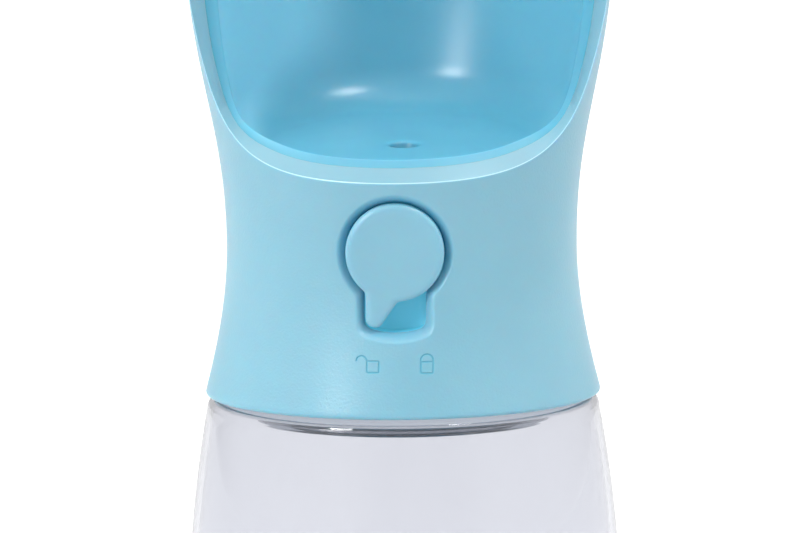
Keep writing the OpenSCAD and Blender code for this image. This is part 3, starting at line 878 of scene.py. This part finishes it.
@dataclass(frozen=True)
class PadlockMarks:
    """Cutters for the two shallow padlock pictograms under the button."""

    groove: float = 0.17
    open_x: float = -3.61
    shut_x: float = 5.08
    loose_x: float = -5.42
    body_z: float = 101.1

    @staticmethod
    def _rounded_box(cx: float, z0: float, w: float, h: float, r: float) -> Array:
        """Closed outline of a rounded rectangle."""
        pts = []
        for sx, sz, start in ((1, 1, 0), (-1, 1, 90), (-1, -1, 180), (1, -1, 270)):
            for a in np.radians(np.linspace(start, start + 90, 5)):
                pts.append((cx + sx * (w / 2 - r) + r * math.cos(a), z0 + h / 2 + sz * (h / 2 - r) + r * math.sin(a)))
        return np.array(pts + pts[:1])

    def outlines(self) -> list[Array]:
        """Strokes of both padlocks as polylines in (x, z)."""
        arc = np.radians(np.linspace(0, 180, 17))
        loose = np.stack([self.loose_x + 0.86 * np.cos(arc), self.body_z + 1.85 + 0.86 * np.sin(arc)], 1)
        shut = np.stack([self.shut_x + 0.98 * np.cos(arc), self.body_z + 2.0 + 0.94 * np.sin(arc)], 1)
        shut = np.vstack([shut[0] - (0, 0.4), shut, shut[-1] - (0, 0.4)])
        return [self._rounded_box(self.open_x, self.body_z + 0.1, 1.95, 1.78, 0.12), loose,
                self._rounded_box(self.shut_x, self.body_z - 0.05, 1.96, 1.8, 0.12), shut]

    def cutters(self) -> list[bpy.types.Object]:
        """A thin tube along each stroke, lying on the shell's surface."""
        made = []
        for line in self.outlines():
            maker = MeshMaker("padlock_cutter")
            fine = self._resample(line, 0.18)
            y = -np.sqrt(HEAD.radius(fine[:, 1]) ** 2 - fine[:, 0] ** 2)
            path = np.stack([fine[:, 0], y, fine[:, 1]], 1)
            closed = np.allclose(line[0], line[-1])
            self._tube(maker, path[:-1] if closed else path, closed)
            # painted shade: the groove faces take the deeper teal mark finish
            maker.zones.append((0, len(maker.faces), Slot.MARK.value))
            made.append(maker.build(80))
        return made

    @staticmethod
    def _resample(line: Array, step: float) -> Array:
        s = np.concatenate([[0], np.cumsum(np.linalg.norm(np.diff(line, axis=0), axis=1))])
        at = np.linspace(0, s[-1], max(4, int(s[-1] / step)))
        return np.stack([np.interp(at, s, line[:, 0]), np.interp(at, s, line[:, 1])], 1)

    def _tube(self, maker: MeshMaker, path: Array, closed: bool) -> None:
        nxt = np.roll(path, -1, 0) if closed else np.vstack([path[1:], 2 * path[-1] - path[-2]])
        prv = np.roll(path, 1, 0) if closed else np.vstack([2 * path[0] - path[1], path[:-1]])
        tang = nxt - prv
        tang /= np.linalg.norm(tang, axis=1, keepdims=True)
        normal = path.copy()
        normal[:, 2] = 0
        normal /= np.linalg.norm(normal, axis=1, keepdims=True)
        side = np.cross(tang, normal)
        side /= np.linalg.norm(side, axis=1, keepdims=True)
        rows = []
        for p, n, s in zip(path, normal, side):
            ring = [p + self.groove * (math.cos(a) * s + 1.25 * math.sin(a) * n)
                    for a in np.linspace(0, 2 * math.pi, 12, endpoint=False)]
            rows.append(np.array(ring))
        made = maker.rings(rows, closed=True, loop=closed)
        if not closed:
            maker.cap(made[0])
            maker.cap(made[-1])


def carve(obj: bpy.types.Object, cutters: Iterable[bpy.types.Object], sharp_deg: float) -> None:
    """Cuts each cutter out of obj in turn and removes it."""
    for cutter in cutters:
        mod = obj.modifiers.new("carve", "BOOLEAN")
        mod.operation, mod.solver, mod.object = "DIFFERENCE", "EXACT", cutter
        bake(obj)
        bpy.data.objects.remove(cutter)
    finish_mesh(obj.data, sharp_deg)


def bake(obj: bpy.types.Object) -> None:
    """Turns an object's modifiers into its plain mesh."""
    graph = bpy.context.evaluated_depsgraph_get()
    mesh = bpy.data.meshes.new_from_object(obj.evaluated_get(graph))
    obj.modifiers.clear()
    obj.data = mesh


# --------------------------------------------------------------------------- trough liner
@dataclass
class TroughLiner(Piece):
    """Glossy inner bowl of the scoop, from its rolled edge down to the drain hole."""

    name: str = "trough"
    body: str = "head"
    node: str = "trough_liner"
    slot: str = "liner_plastic"
    finish: Finish = Finish.LINER
    crease_deg: float = 35.0
    fillet: float = 6.4
    rows_down: int = 72
    crest_round: float = 0.7
    back_round: float = 0.005
    # painted light on the trough's side walls: how much of the pale tint the left and right walls take
    painted_light_left: float = 0.68
    painted_light_right: float = 0.2

    @staticmethod
    def floor(y: Array, side: int) -> Array:
        """Height of the trough's floor: side 0 is the wet face and 1 the underside."""
        return DIM.floor_z + DIM.floor_slope * (y - DIM.floor_ref_y) - side * DIM.liner_wall

    def _base_azimuth(self, phi: Array) -> Array:
        """Azimuth where each column meets the fillet: the steep sides spread out to the back."""
        split = int(np.searchsorted(phi, 66))
        run = np.linspace(0, 1, len(phi) - split)
        out = phi.copy()
        slope = (phi[split] - phi[split - 6]) / 6 * (len(phi) - 1 - split)
        start, end = phi[split], 180.0
        out[split:] = bezier([(start,), (start + slope / 3,), (end - (end - start) / 3,), (end,)], run)[:, 0]
        return out

    def _face(self, side: int) -> list[Array]:
        """Rows of one face, from just below the rolled edge to the foot of the fillet."""
        depth = DIM.shell_wall + (DIM.liner_wall if side == 0 else DIM.liner_gap)
        phi, z = RIM.face(depth)
        base_phi = self._base_azimuth(phi)
        ring = np.radians(base_phi)

        def floor_at(radius: Array) -> Array:
            return self.floor(-radius * np.cos(ring), side)

        reach = np.minimum(self.fillet + side, z - floor_at(HEAD.radius(z) - depth) - 0.15)
        for _ in range(10):
            reach[1:-1] = (reach[:-2] + 2 * reach[1:-1] + reach[2:]) / 4
        top_z = floor_at(HEAD.radius(z) - depth) + reach
        wall = column_paths(phi, z, base_phi, top_z, depth, 0.0, np.linspace(0, 1, 90))
        upper = on_surface(wall[:, :, 0], wall[:, :, 1], depth)
        wall_r = HEAD.radius(top_z) - depth
        tilt = HEAD.radius(top_z + 0.5) - HEAD.radius(top_z - 0.5)
        foot_r = wall_r - reach * 1.08
        knots = np.array([
            np.stack([wall_r, top_z], 1),
            np.stack([wall_r - tilt * reach * 0.55, top_z - reach * 0.55], 1),
            np.stack([foot_r + reach * 0.5, floor_at(foot_r + reach * 0.5)], 1),
            np.stack([foot_r, floor_at(foot_r)], 1),
        ])
        t = np.linspace(0, 1, 40)[1:, None, None]
        bend = (1 - t) ** 3 * knots[0] + 3 * t * (1 - t) ** 2 * knots[1] + 3 * t**2 * (1 - t) * knots[2] + t**3 * knots[3]
        lower = np.stack([bend[..., 0] * np.sin(ring), -bend[..., 0] * np.cos(ring), bend[..., 1]], -1)
        whole = np.concatenate([upper, lower], 0)
        first = 0.75 if side == 0 else 0.35
        return [self._mirrored(row) for row in resample_down(whole, first, np.linspace(0, 1, self.rows_down) ** 1.15)]

    @staticmethod
    def _mirrored(half: Array) -> Array:
        """Carries one half's row right round."""
        other = half[-2:0:-1] * np.array([-1.0, 1.0, 1.0])
        return np.concatenate([half, other])

    def build(self) -> bpy.types.Object:
        """Makes the liner."""
        wet, back = self._face(0), self._face(1)
        edge = [on_surface(RIM.whole(RIM.face(d)[0], True), RIM.whole(RIM.face(d)[1]), d)
                for d in (DIM.shell_wall + DIM.liner_gap, DIM.shell_wall + DIM.liner_wall)]
        outer_corner = corner(back[0], edge[0], edge[1], self.back_round, 1)
        crest = corner(edge[0], edge[1], wet[0], self.crest_round, 8)
        turn = np.radians(RIM.whole(self._base_azimuth(RIM.face(DIM.shell_wall + DIM.liner_wall)[0]), True))

        def drain(radius: float, z: float | None, side: int = 0, dip: float = 0.0) -> Array:
            x = DIM.drain_x + radius * np.sin(turn)
            y = DIM.drain_y - radius * np.cos(turn)
            h = self.floor(y, side) - dip if z is None else np.full_like(x, z)
            return np.stack([x, y, h], 1)

        rows = [*reversed(back), *outer_corner[1:], *crest[:-1], *wet]
        ring = drain(3.9, None)
        rows += [wet[-1] * (1 - t) + ring * t for t in (0.3, 0.6, 0.85)]
        rows += [ring, drain(3.4, None, dip=0.01), drain(3.0, None, dip=0.05), drain(2.7, None, dip=0.13),
                 drain(2.5, None, dip=0.28), drain(DIM.drain_r, None, dip=0.5),
                 drain(DIM.drain_r, DIM.spout_z), drain(DIM.drain_r + 2, DIM.spout_z),
                 drain(DIM.drain_r + 2, None, side=1)]
        made = self.mesh.rings(rows, loop=True)
        # painted light: the side walls and the rolled edge take a paler tint, stronger on the left wall, fading down
        # towards the floor
        painted_light_fade = np.clip(np.linspace(4.2, -0.2, len(wet)), 0, 1)
        first = len(back) + len(outer_corner) - 1 + len(crest) - 1
        rolled = len(crest) - 1
        painted_light_rows = [*crest[:-1], *wet]
        for indices, points, share in zip(made[first - rolled:], painted_light_rows, [*np.full(rolled, 0.45), *painted_light_fade]):
            azimuth = np.degrees(np.arctan2(points[:, 0], -points[:, 1]))
            side = smooth(168, 138, np.abs(azimuth)) * smooth(20, 60, np.abs(azimuth))
            side = side * np.where(azimuth < 0, self.painted_light_left, self.painted_light_right) * share * share * (3 - 2 * share)
            self.mesh.painted_shadings.append((indices, side))
        return self.mesh.build(self.crease_deg)


# --------------------------------------------------------------------------- bottle
@dataclass
class ClearBottle(Piece):
    """Clear bottle with a threaded neck that hangs inside in a thick root."""

    name: str = "clear_bottle"
    body: str = "bottle"
    node: str = "bottle"
    slot: str = "clear_plastic"
    finish: Finish = Finish.CLEAR
    crease_deg: float = 50.0
    wall: float = 1.1
    root_r: float = 24.0
    neck_r: float = 22.6
    bore_r: float = 20.8
    pitch: float = 4.0
    turns: float = 1.2
    foot: float = 7.0
    swell: float = 2.3
    segments: int = 288
    seat_deg: float = 75.0

    @staticmethod
    def barrel(z: Array | float) -> Array:
        """Outer radius of the barrel."""
        return 36.18 - 3.69 * ((np.asarray(z, float) - 52) / 40) ** 2

    def _thread(self, a: Array, z: float) -> Array:
        """How far the thread stands out of the neck at azimuth a (radians) and height z."""
        start = DIM.shoulder_z + 3.1
        out = np.zeros_like(a)
        for turn in range(2):
            angle = a + 2 * math.pi * turn
            share = angle / (2 * math.pi * self.turns)
            lift = np.clip(np.minimum(share, 1 - share) * self.turns * 10, 0, 1)
            off = np.abs(z - (start + self.pitch * angle / (2 * math.pi)))
            ridge = 1.4 * np.clip((1.2 - off) / 0.7, 0, 1) * lift
            out = np.maximum(out, np.where(share <= 1, ridge, 0))
        return out

    def build(self) -> bpy.types.Object:
        """Makes the bottle."""
        sz = DIM.shoulder_z
        seg, foot, swell = self.segments, self.foot, self.swell
        a = np.linspace(0, 2 * math.pi, seg, endpoint=False)
        foot_r = float(self.barrel(8)) - foot
        corner_z = sz - 1.6

        def arc(cx: float, cz: float, r: float, a0: float, a1: float, n: int) -> list[tuple[float, float]]:
            return [(cx + r * math.cos(math.radians(t)), cz + r * math.sin(math.radians(t)))
                    for t in np.linspace(a0, a1, n)]

        outer: list[tuple[float, float]] = [(0.05, 3.6), (4, 3.58), (9, 3.42), (14, 3.0), (18, 2.2), (20.4, 1.1),
                                            (21.4, 0.35), (22.2, 0.0)]
        outer += arc(foot_r, foot, foot, -90, -6, 18)
        outer += [(float(self.barrel(z)), z) for z in np.linspace(8, corner_z, 46)]
        swell_r = float(self.barrel(corner_z)) - swell
        outer += arc(swell_r, corner_z, swell, 10, 90, 16)
        outer += [(29.2, corner_z + swell), (28.4, corner_z + swell - 0.1), (27.6, sz + 0.2), (27, sz), (25.2, sz),
                  (self.neck_r + 0.8, sz), (self.neck_r + 0.25, sz + 0.2), (self.neck_r, sz + 0.8)]
        neck = [(self.neck_r, z) for z in np.arange(sz + 1.2, sz + 8.9, 0.2)]
        lip = [(self.neck_r, sz + 8.95), (self.neck_r - 0.15, sz + 9.2), (self.neck_r - 0.5, sz + 9.3),
               (self.bore_r + 0.4, sz + 9.3), (self.bore_r + 0.1, sz + 9.2), (self.bore_r, sz + 8.9)]
        inner = [(self.bore_r, z) for z in np.linspace(sz + 8, sz, 6)]
        inner += arc(self.bore_r + 0.9, sz - 2.4, 0.9, 180, 270, 8)
        inner += arc(self.root_r - 0.6, sz - 2.7, 0.6, -90, 0, 7)
        inner += arc(self.root_r + 1.4, sz - self.wall - 1.4, 1.4, 180, 90, 9)
        inner += [(26.6, sz - self.wall), (27.4, sz - self.wall + 0.15), (28.4, corner_z + swell - self.wall - 0.1)]
        inner += arc(swell_r, corner_z, swell - self.wall, 90, 12, 10)
        inner += [(float(self.barrel(z)) - self.wall, z) for z in np.linspace(corner_z - 0.4, 9.5, 48)]
        inner += arc(foot_r, 9, foot - self.wall, -5, -90, 14)
        inner += [(20.5, 4.6), (17, 5.3), (12, 6.2), (6, 6.85), (0.05, 7.0)]
        maker = self.mesh
        rows = []
        for r, z in outer:
            rows.append(np.stack([r * np.sin(a), -r * np.cos(a), np.full(seg, z)], 1))
        for r, z in neck:
            rr = r + self._thread(np.mod(a - math.pi / 2, 2 * math.pi), z)
            rows.append(np.stack([rr * np.sin(a), -rr * np.cos(a), np.full(seg, z)], 1))
        for r, z in [*lip, *inner]:
            rows.append(np.stack([r * np.sin(a), -r * np.cos(a), np.full(seg, z)], 1))
        made = maker.rings(rows)
        maker.cap(made[0])
        maker.cap(made[-1])
        # painted highlight: the top of the shoulder under the collar is made opaque and glowing pale
        seat_z = corner_z + swell * math.sin(math.radians(self.seat_deg))
        seat = [k for k, (r, z) in enumerate(outer) if z > seat_z or (z >= sz and r < swell_r)]
        maker.zones.append((seat[0] * seg, seat[-1] * seg, Slot.SEAT_GLOW.value))
        return maker.build(self.crease_deg)


# --------------------------------------------------------------------------- button
@dataclass
class ButtonCap(Piece):
    """Round button with a pointer, rounded edges and a hub behind."""

    name: str = "button"
    body: str = "button"
    node: str = "button_cap"
    slot: str = "shell_plastic"
    finish: Finish = Finish.BUTTON
    edge: float = 1.15
    edge_depth: float = 0.75
    face_wall: float = 1.95
    skirt_r: float = 7.85
    skirt_end_y: float = -26.0
    hub_r: float = 3.7
    hub_end_y: float = -24.25
    socket_r: float = 2.05
    socket_end_y: float = -27.1

    def build(self) -> bpy.types.Object:
        """Makes the button."""
        axis = math.radians(-90 - DIM.pointer_angle)
        near = np.radians(np.linspace(-30, 30, 121))
        far = np.radians(np.linspace(30, 330, 122))[1:-1]
        ang = axis + np.concatenate([near, far])
        maker, edge, depth = self.mesh, self.edge, self.edge_depth
        rows: list[Array] = []
        inner = ray_radius(button_outline, ang, -edge - 0.15, low=0.5)
        for t in (0.15, 0.4, 0.7, 1.0):
            rows.append(flat_ring(ang, inner * t, DIM.face_y))
        for t in np.linspace(0, math.pi / 2, 10):
            off = -edge * (1 - math.sin(t))
            rows.append(flat_ring(ang, ray_radius(button_outline, ang, off, low=0.5),
                                  DIM.face_y + depth * (1 - math.cos(t))))
        rim = ray_radius(button_outline, ang, 0.0, low=0.5)
        back = DIM.face_y + self.face_wall
        rows.append(flat_ring(ang, rim, back - 0.25))
        rows.append(flat_ring(ang, ray_radius(button_outline, ang, -0.2, low=0.5), back))
        rows.append(flat_ring(ang, np.minimum(self.skirt_r, rim - 0.25), back + 0.02))
        for radius, y in ((self.skirt_r, back + 0.2), (self.skirt_r, self.skirt_end_y - 0.1),
                          (self.skirt_r - 0.1, self.skirt_end_y), (self.skirt_r - 1.15, self.skirt_end_y),
                          (self.skirt_r - 1.15, back - 0.15), (self.hub_r, back - 0.15),
                          (self.hub_r, self.hub_end_y), (self.socket_r, self.hub_end_y),
                          (self.socket_r, self.socket_end_y)):
            rows.append(flat_ring(ang, radius, y))
        made = maker.rings(rows)
        maker.cap(made[0])
        maker.cap(made[-1])
        for side in (0, math.pi):
            self._lug(axis + side)
        return maker.build(self.crease_deg)

    def _lug(self, middle: float) -> None:
        """One of the two lugs behind the skirt."""
        rows = []
        for a in np.radians(np.linspace(-10, 10, 9)) + middle:
            quad = [(6.85, -26.4), (7.75, -26.4), (7.75, -25.3), (6.85, -25.3)]
            rows.append(np.array([[r * math.cos(a), y, DIM.button_z + r * math.sin(a)] for r, y in quad]))
        made = self.mesh.rings(rows)
        self.mesh.faces.append(tuple(made[0]))
        self.mesh.faces.append(tuple(made[-1]))


# --------------------------------------------------------------------------- spring
@dataclass
class CoilSpring(Piece):
    """Return spring, made by Geometry Nodes as a swept helix."""

    name: str = "spring"
    body: str = "head"
    node: str = "return_spring"
    slot: str = "steel"
    finish: Finish = Finish.STEEL
    wire_r: float = 0.3
    coil_r: float = 4.6
    coils: float = 5.0
    keep: float = 0.627

    def _group(self) -> bpy.types.NodeTree:
        """Node group that sweeps a wire along a helix.

        Returns:
            The group, with the wire's and the helix's sizes as named inputs.
        """
        tree = bpy.data.node_groups.new("coil", "GeometryNodeTree")
        for name in ("Wire Radius", "Coil Radius", "Coils", "Length", "Start"):
            kind = "NodeSocketVector" if name == "Start" else "NodeSocketFloat"
            tree.interface.new_socket(name, in_out="INPUT", socket_type=kind)
        tree.interface.new_socket("Geometry", in_out="OUTPUT", socket_type="NodeSocketGeometry")
        link = tree.links.new
        sizes = tree.nodes.new("NodeGroupInput").outputs
        out = tree.nodes.new("NodeGroupOutput")
        spiral = tree.nodes.new("GeometryNodeCurveSpiral")
        spiral.inputs["Resolution"].default_value = 32
        for socket, size in (("Rotations", "Coils"), ("Start Radius", "Coil Radius"),
                             ("End Radius", "Coil Radius"), ("Height", "Length")):
            link(sizes[size], spiral.inputs[socket])
        turn = tree.nodes.new("GeometryNodeTransform")
        turn.inputs["Rotation"].default_value = (math.radians(-90), 0, 0)
        link(sizes["Start"], turn.inputs["Translation"])
        circle = tree.nodes.new("GeometryNodeCurvePrimitiveCircle")
        circle.inputs["Resolution"].default_value = 14
        link(sizes["Wire Radius"], circle.inputs["Radius"])
        sweep = tree.nodes.new("GeometryNodeCurveToMesh")
        sweep.inputs["Fill Caps"].default_value = True
        shade = tree.nodes.new("GeometryNodeSetShadeSmooth")
        real = tree.nodes.new("GeometryNodeRealizeInstances")
        coat = tree.nodes.new("GeometryNodeSetMaterial")
        coat.inputs["Material"].default_value = MATERIALS.get(self.finish)
        link(spiral.outputs["Curve"], turn.inputs["Geometry"])
        link(turn.outputs["Geometry"], sweep.inputs["Curve"])
        link(circle.outputs["Curve"], sweep.inputs["Profile Curve"])
        for one, other in ((sweep, shade), (shade, real), (real, coat), (coat, out)):
            link(one.outputs[0], other.inputs["Geometry"])
        return tree

    def build(self) -> bpy.types.Object:
        """Makes the spring inside its CAD node's box."""
        lo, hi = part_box(self.node)
        wire = self.wire_r * MM
        obj = bpy.data.objects.new(self.name, bpy.data.meshes.new(self.name))
        bpy.context.scene.collection.objects.link(obj)
        mod = obj.modifiers.new("coil", "NODES")
        mod.node_group = self._group()
        sizes = {"Wire Radius": wire, "Coil Radius": self.coil_r * MM, "Coils": self.coils,
                 "Length": (hi.y - lo.y) - 2 * wire, "Start": (0.0, lo.y + wire, DIM.button_z * MM)}
        for item in mod.node_group.interface.items_tree:
            if item.name in sizes:
                mod[item.identifier] = sizes[item.name]
        bake(obj)
        return obj

    def dress(self, obj: bpy.types.Object) -> None:
        """Dresses the spring and gives it a mesh of its own."""
        super().dress(obj)
        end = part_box(self.node)[1].y
        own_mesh(obj)


# --------------------------------------------------------------------------- set
@dataclass(frozen=True)
class Softbox:
    """Soft lamp aimed at the bottle; azimuth runs from the front towards +X, in degrees."""

    name: str
    azimuth: float
    elevation: float
    distance: float
    size: tuple[float, float]
    watts: float
    aim: tuple[float, float, float] = (0.0, 0.0, 0.13)

    def build(self) -> None:
        """Makes the lamp."""
        a, e = math.radians(self.azimuth), math.radians(self.elevation)
        away = Vector((math.sin(a) * math.cos(e), -math.cos(a) * math.cos(e), math.sin(e)))
        data = bpy.data.lights.new(self.name, "AREA")
        data.shape = "RECTANGLE"
        data.size, data.size_y = self.size
        data.energy = self.watts
        obj = bpy.data.objects.new(self.name, data)
        obj.location = Vector(self.aim) + away * self.distance
        obj.rotation_mode = "QUATERNION"
        obj.rotation_quaternion = (-away).to_track_quat("-Z", "Y")
        bpy.context.scene.collection.objects.link(obj)


@dataclass(frozen=True)
class Studio:
    """Camera, lights, floor and background."""

    target: Vector = field(default_factory=lambda: Vector((0, 0, 114.57 * MM)))
    distance: float = 0.9
    elevation: float = 7.0
    azimuth: float = 2.3
    roll: float = 0.53
    picture_width: int = 800
    focal_px: float = 5427.0
    shift_px: float = -2.0
    floor_radius: float = 2.5
    boxes: tuple[Softbox, ...] = (
        Softbox("left_box", -37, 28, 0.95, (0.22, 0.18), 2.7),
        Softbox("left_wall", -41, 17, 1.2, (0.3, 0.13), 0.9),
        Softbox("right_box", 57, 60, 0.9, (0.22, 0.12), 1.9),
        Softbox("overhead", 165, 78, 1.0, (1.2, 0.9), 2.4),
    )

    def camera(self) -> None:
        """Camera that sees the bottle from a little above and to the right."""
        elev, azim, roll = (math.radians(v) for v in (self.elevation, self.azimuth, self.roll))
        back = Vector((math.sin(azim) * math.cos(elev), -math.cos(azim) * math.cos(elev), math.sin(elev)))
        right = Vector((0, 0, 1)).cross(back).normalized()
        up = back.cross(right)
        r2 = right * math.cos(roll) - up * math.sin(roll)
        u2 = right * math.sin(roll) + up * math.cos(roll)
        data = bpy.data.cameras.new("camera")
        data.sensor_width = 36
        data.lens = self.focal_px * data.sensor_width / self.picture_width
        data.shift_x = self.shift_px / self.picture_width
        data.clip_start, data.clip_end = 0.05, 50
        cam = bpy.data.objects.new("camera", data)
        bpy.context.scene.collection.objects.link(cam)
        place = Matrix((r2, u2, back)).transposed().to_4x4()
        place.translation = self.target + back * self.distance
        cam.matrix_world = place
        bpy.context.scene.camera = cam

    @staticmethod
    def _math(tree: bpy.types.NodeTree, how: str, a: bpy.types.NodeSocket, b: bpy.types.NodeSocket) -> bpy.types.NodeSocket:
        node = tree.nodes.new("ShaderNodeMath")
        node.operation = how
        tree.links.new(a, node.inputs[0])
        tree.links.new(b, node.inputs[1])
        return node.outputs[0]

    @staticmethod
    def _mix(tree: bpy.types.NodeTree, share: bpy.types.NodeSocket, a: float | bpy.types.NodeSocket,
             b: float | bpy.types.NodeSocket) -> bpy.types.NodeSocket:
        node = tree.nodes.new("ShaderNodeMix")
        node.data_type = "FLOAT"
        tree.links.new(share, node.inputs["Factor"])
        for name, value in (("A", a), ("B", b)):
            if isinstance(value, float):
                node.inputs[name].default_value = value
            else:
                tree.links.new(value, node.inputs[name])
        return node.outputs["Result"]

    @staticmethod
    def _span(tree: bpy.types.NodeTree, value: bpy.types.NodeSocket, low: tuple[float, float],
              high: tuple[float, float]) -> bpy.types.NodeSocket:
        """Smooth ramp from low (at, strength) to high (at, strength)."""
        node = tree.nodes.new("ShaderNodeMapRange")
        node.interpolation_type = "SMOOTHSTEP"
        node.inputs["From Min"].default_value, node.inputs["To Min"].default_value = low
        node.inputs["From Max"].default_value, node.inputs["To Max"].default_value = high
        tree.links.new(value, node.inputs["Value"])
        return node.outputs["Result"]

    @staticmethod
    def _along(tree: bpy.types.NodeTree, way: bpy.types.NodeSocket, axis: tuple[float, float, float]) -> bpy.types.NodeSocket:
        """How far a direction points along an axis."""
        node = tree.nodes.new("ShaderNodeVectorMath")
        node.operation = "DOT_PRODUCT"
        tree.links.new(way, node.inputs[0])
        node.inputs[1].default_value = axis
        return node.outputs["Value"]

    def _seen(self, tree: bpy.types.NodeTree, path: bpy.types.Node) -> bpy.types.NodeSocket:
        """1 for what the camera sees, straight or through clear walls."""
        return self._math(tree, "MAXIMUM", path.outputs["Is Camera Ray"], path.outputs["Is Transmission Ray"])

    def world(self) -> None:
        """White surroundings: dimmer in gloss towards the camera's side, and dimmer low down in the lighting."""
        world = bpy.data.worlds.new("surroundings")
        bpy.context.scene.world = world
        world.use_nodes = True
        tree = world.node_tree
        back = tree.nodes["Background"]
        back.inputs["Color"].default_value = (1, 1, 1, 1)
        path = tree.nodes.new("ShaderNodeLightPath")
        coord = tree.nodes.new("ShaderNodeTexCoord")
        ahead = self._along(tree, coord.outputs["Generated"], (0.208, -0.978, 0))
        height = self._along(tree, coord.outputs["Generated"], (0, 0, 1))
        front = self._span(tree, ahead, (0.72, 0.92), (0.97, 0.3))
        rear = self._span(tree, ahead, (-0.95, 0.5), (-0.2, 1.0))
        gloss = self._math(tree, "MULTIPLY", front, rear)
        around = self._span(tree, ahead, (0.2, 1.5), (1.0, 0.6))
        above = self._span(tree, height, (-0.5, 0.4), (0.1, 1.0))
        light = self._math(tree, "MULTIPLY", around, above)
        soft = self._mix(tree, path.outputs["Is Glossy Ray"], light, gloss)
        tree.links.new(self._mix(tree, self._seen(tree, path), soft, 1.0), back.inputs["Strength"])

    def floor(self) -> None:
        """Pale floor under the bottle, white to the eye away from the shadow."""
        bm = bmesh.new()
        bmesh.ops.create_circle(bm, cap_ends=True, radius=self.floor_radius, segments=128)
        mesh = bpy.data.meshes.new("floor")
        bm.to_mesh(mesh)
        bm.free()
        obj = bpy.data.objects.new("floor", mesh)
        mat = bpy.data.materials.new("floor")
        mat.use_nodes = True
        tree = mat.node_tree
        bsdf = tree.nodes["Principled BSDF"]
        bsdf.inputs["Base Color"].default_value = srgb(200, 200, 201)
        bsdf.inputs["Roughness"].default_value = 0.9
        bsdf.inputs["Specular IOR Level"].default_value = 0.1
        bsdf.inputs["Emission Color"].default_value = (1, 1, 1, 1)
        path = tree.nodes.new("ShaderNodeLightPath")
        tree.links.new(self._mix(tree, self._seen(tree, path), 0.0, 0.55), bsdf.inputs["Emission Strength"])
        mesh.materials.append(mat)
        bpy.context.scene.collection.objects.link(obj)

    def build(self) -> None:
        """Sets the whole studio up."""
        self.camera()
        for box in self.boxes:
            box.build()
        self.world()
        self.floor()
        bpy.context.scene.view_settings.view_transform = "Standard"


@dataclass(frozen=True)
class ValveParts:
    """The inner pieces that keep their CAD shape: seals, valve, screws and thread insert."""

    finishes: tuple[tuple[str, Finish], ...] = (
        ("neck_gasket", Finish.SILICONE),
        ("thread_insert", Finish.INNER),
        ("valve_housing", Finish.INNER),
        ("inlet_seal", Finish.SILICONE),
        # painted shade: the outlet seal seen down the drain hole is dark teal
        ("outlet_seal", Finish.SHADED_SEAL),
        ("housing_screws", Finish.STEEL),
        ("end_cap", Finish.INNER),
        ("end_cap_seal", Finish.SILICONE),
        ("lock_ring", Finish.INNER),
        ("valve_stem", Finish.STEM),
        ("stem_seal", Finish.SILICONE),
        ("valve_plug", Finish.SILICONE),
    )

    def dress(self, nodes: dict[str, bpy.types.Object]) -> None:
        """Gives each piece its material.

        Args:
            nodes: the CAD objects by name.
        """
        for node, finish in self.finishes:
            for place in nodes[node].material_slots:
                place.material = MATERIALS.get(finish)
            LOG.info("%s: %s", node, finish.value)


def main() -> None:
    """Builds the studio and the pieces in order and keeps the object's size."""
    logging.basicConfig(level=logging.INFO, format="%(message)s")
    for o in list(bpy.data.objects):
        bpy.data.objects.remove(o)
    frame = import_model()
    Studio().build()
    for piece in (HeadShell(), TroughLiner(), ClearBottle(), ButtonCap(), CoilSpring()):
        obj = piece.build()
        piece.dress(obj)
        LOG.info("%s rides on %s: %d faces", piece.name, piece.body, len(obj.data.polygons))
    ValveParts().dress(frame["nodes"])


if __name__ == "__main__":
    main()
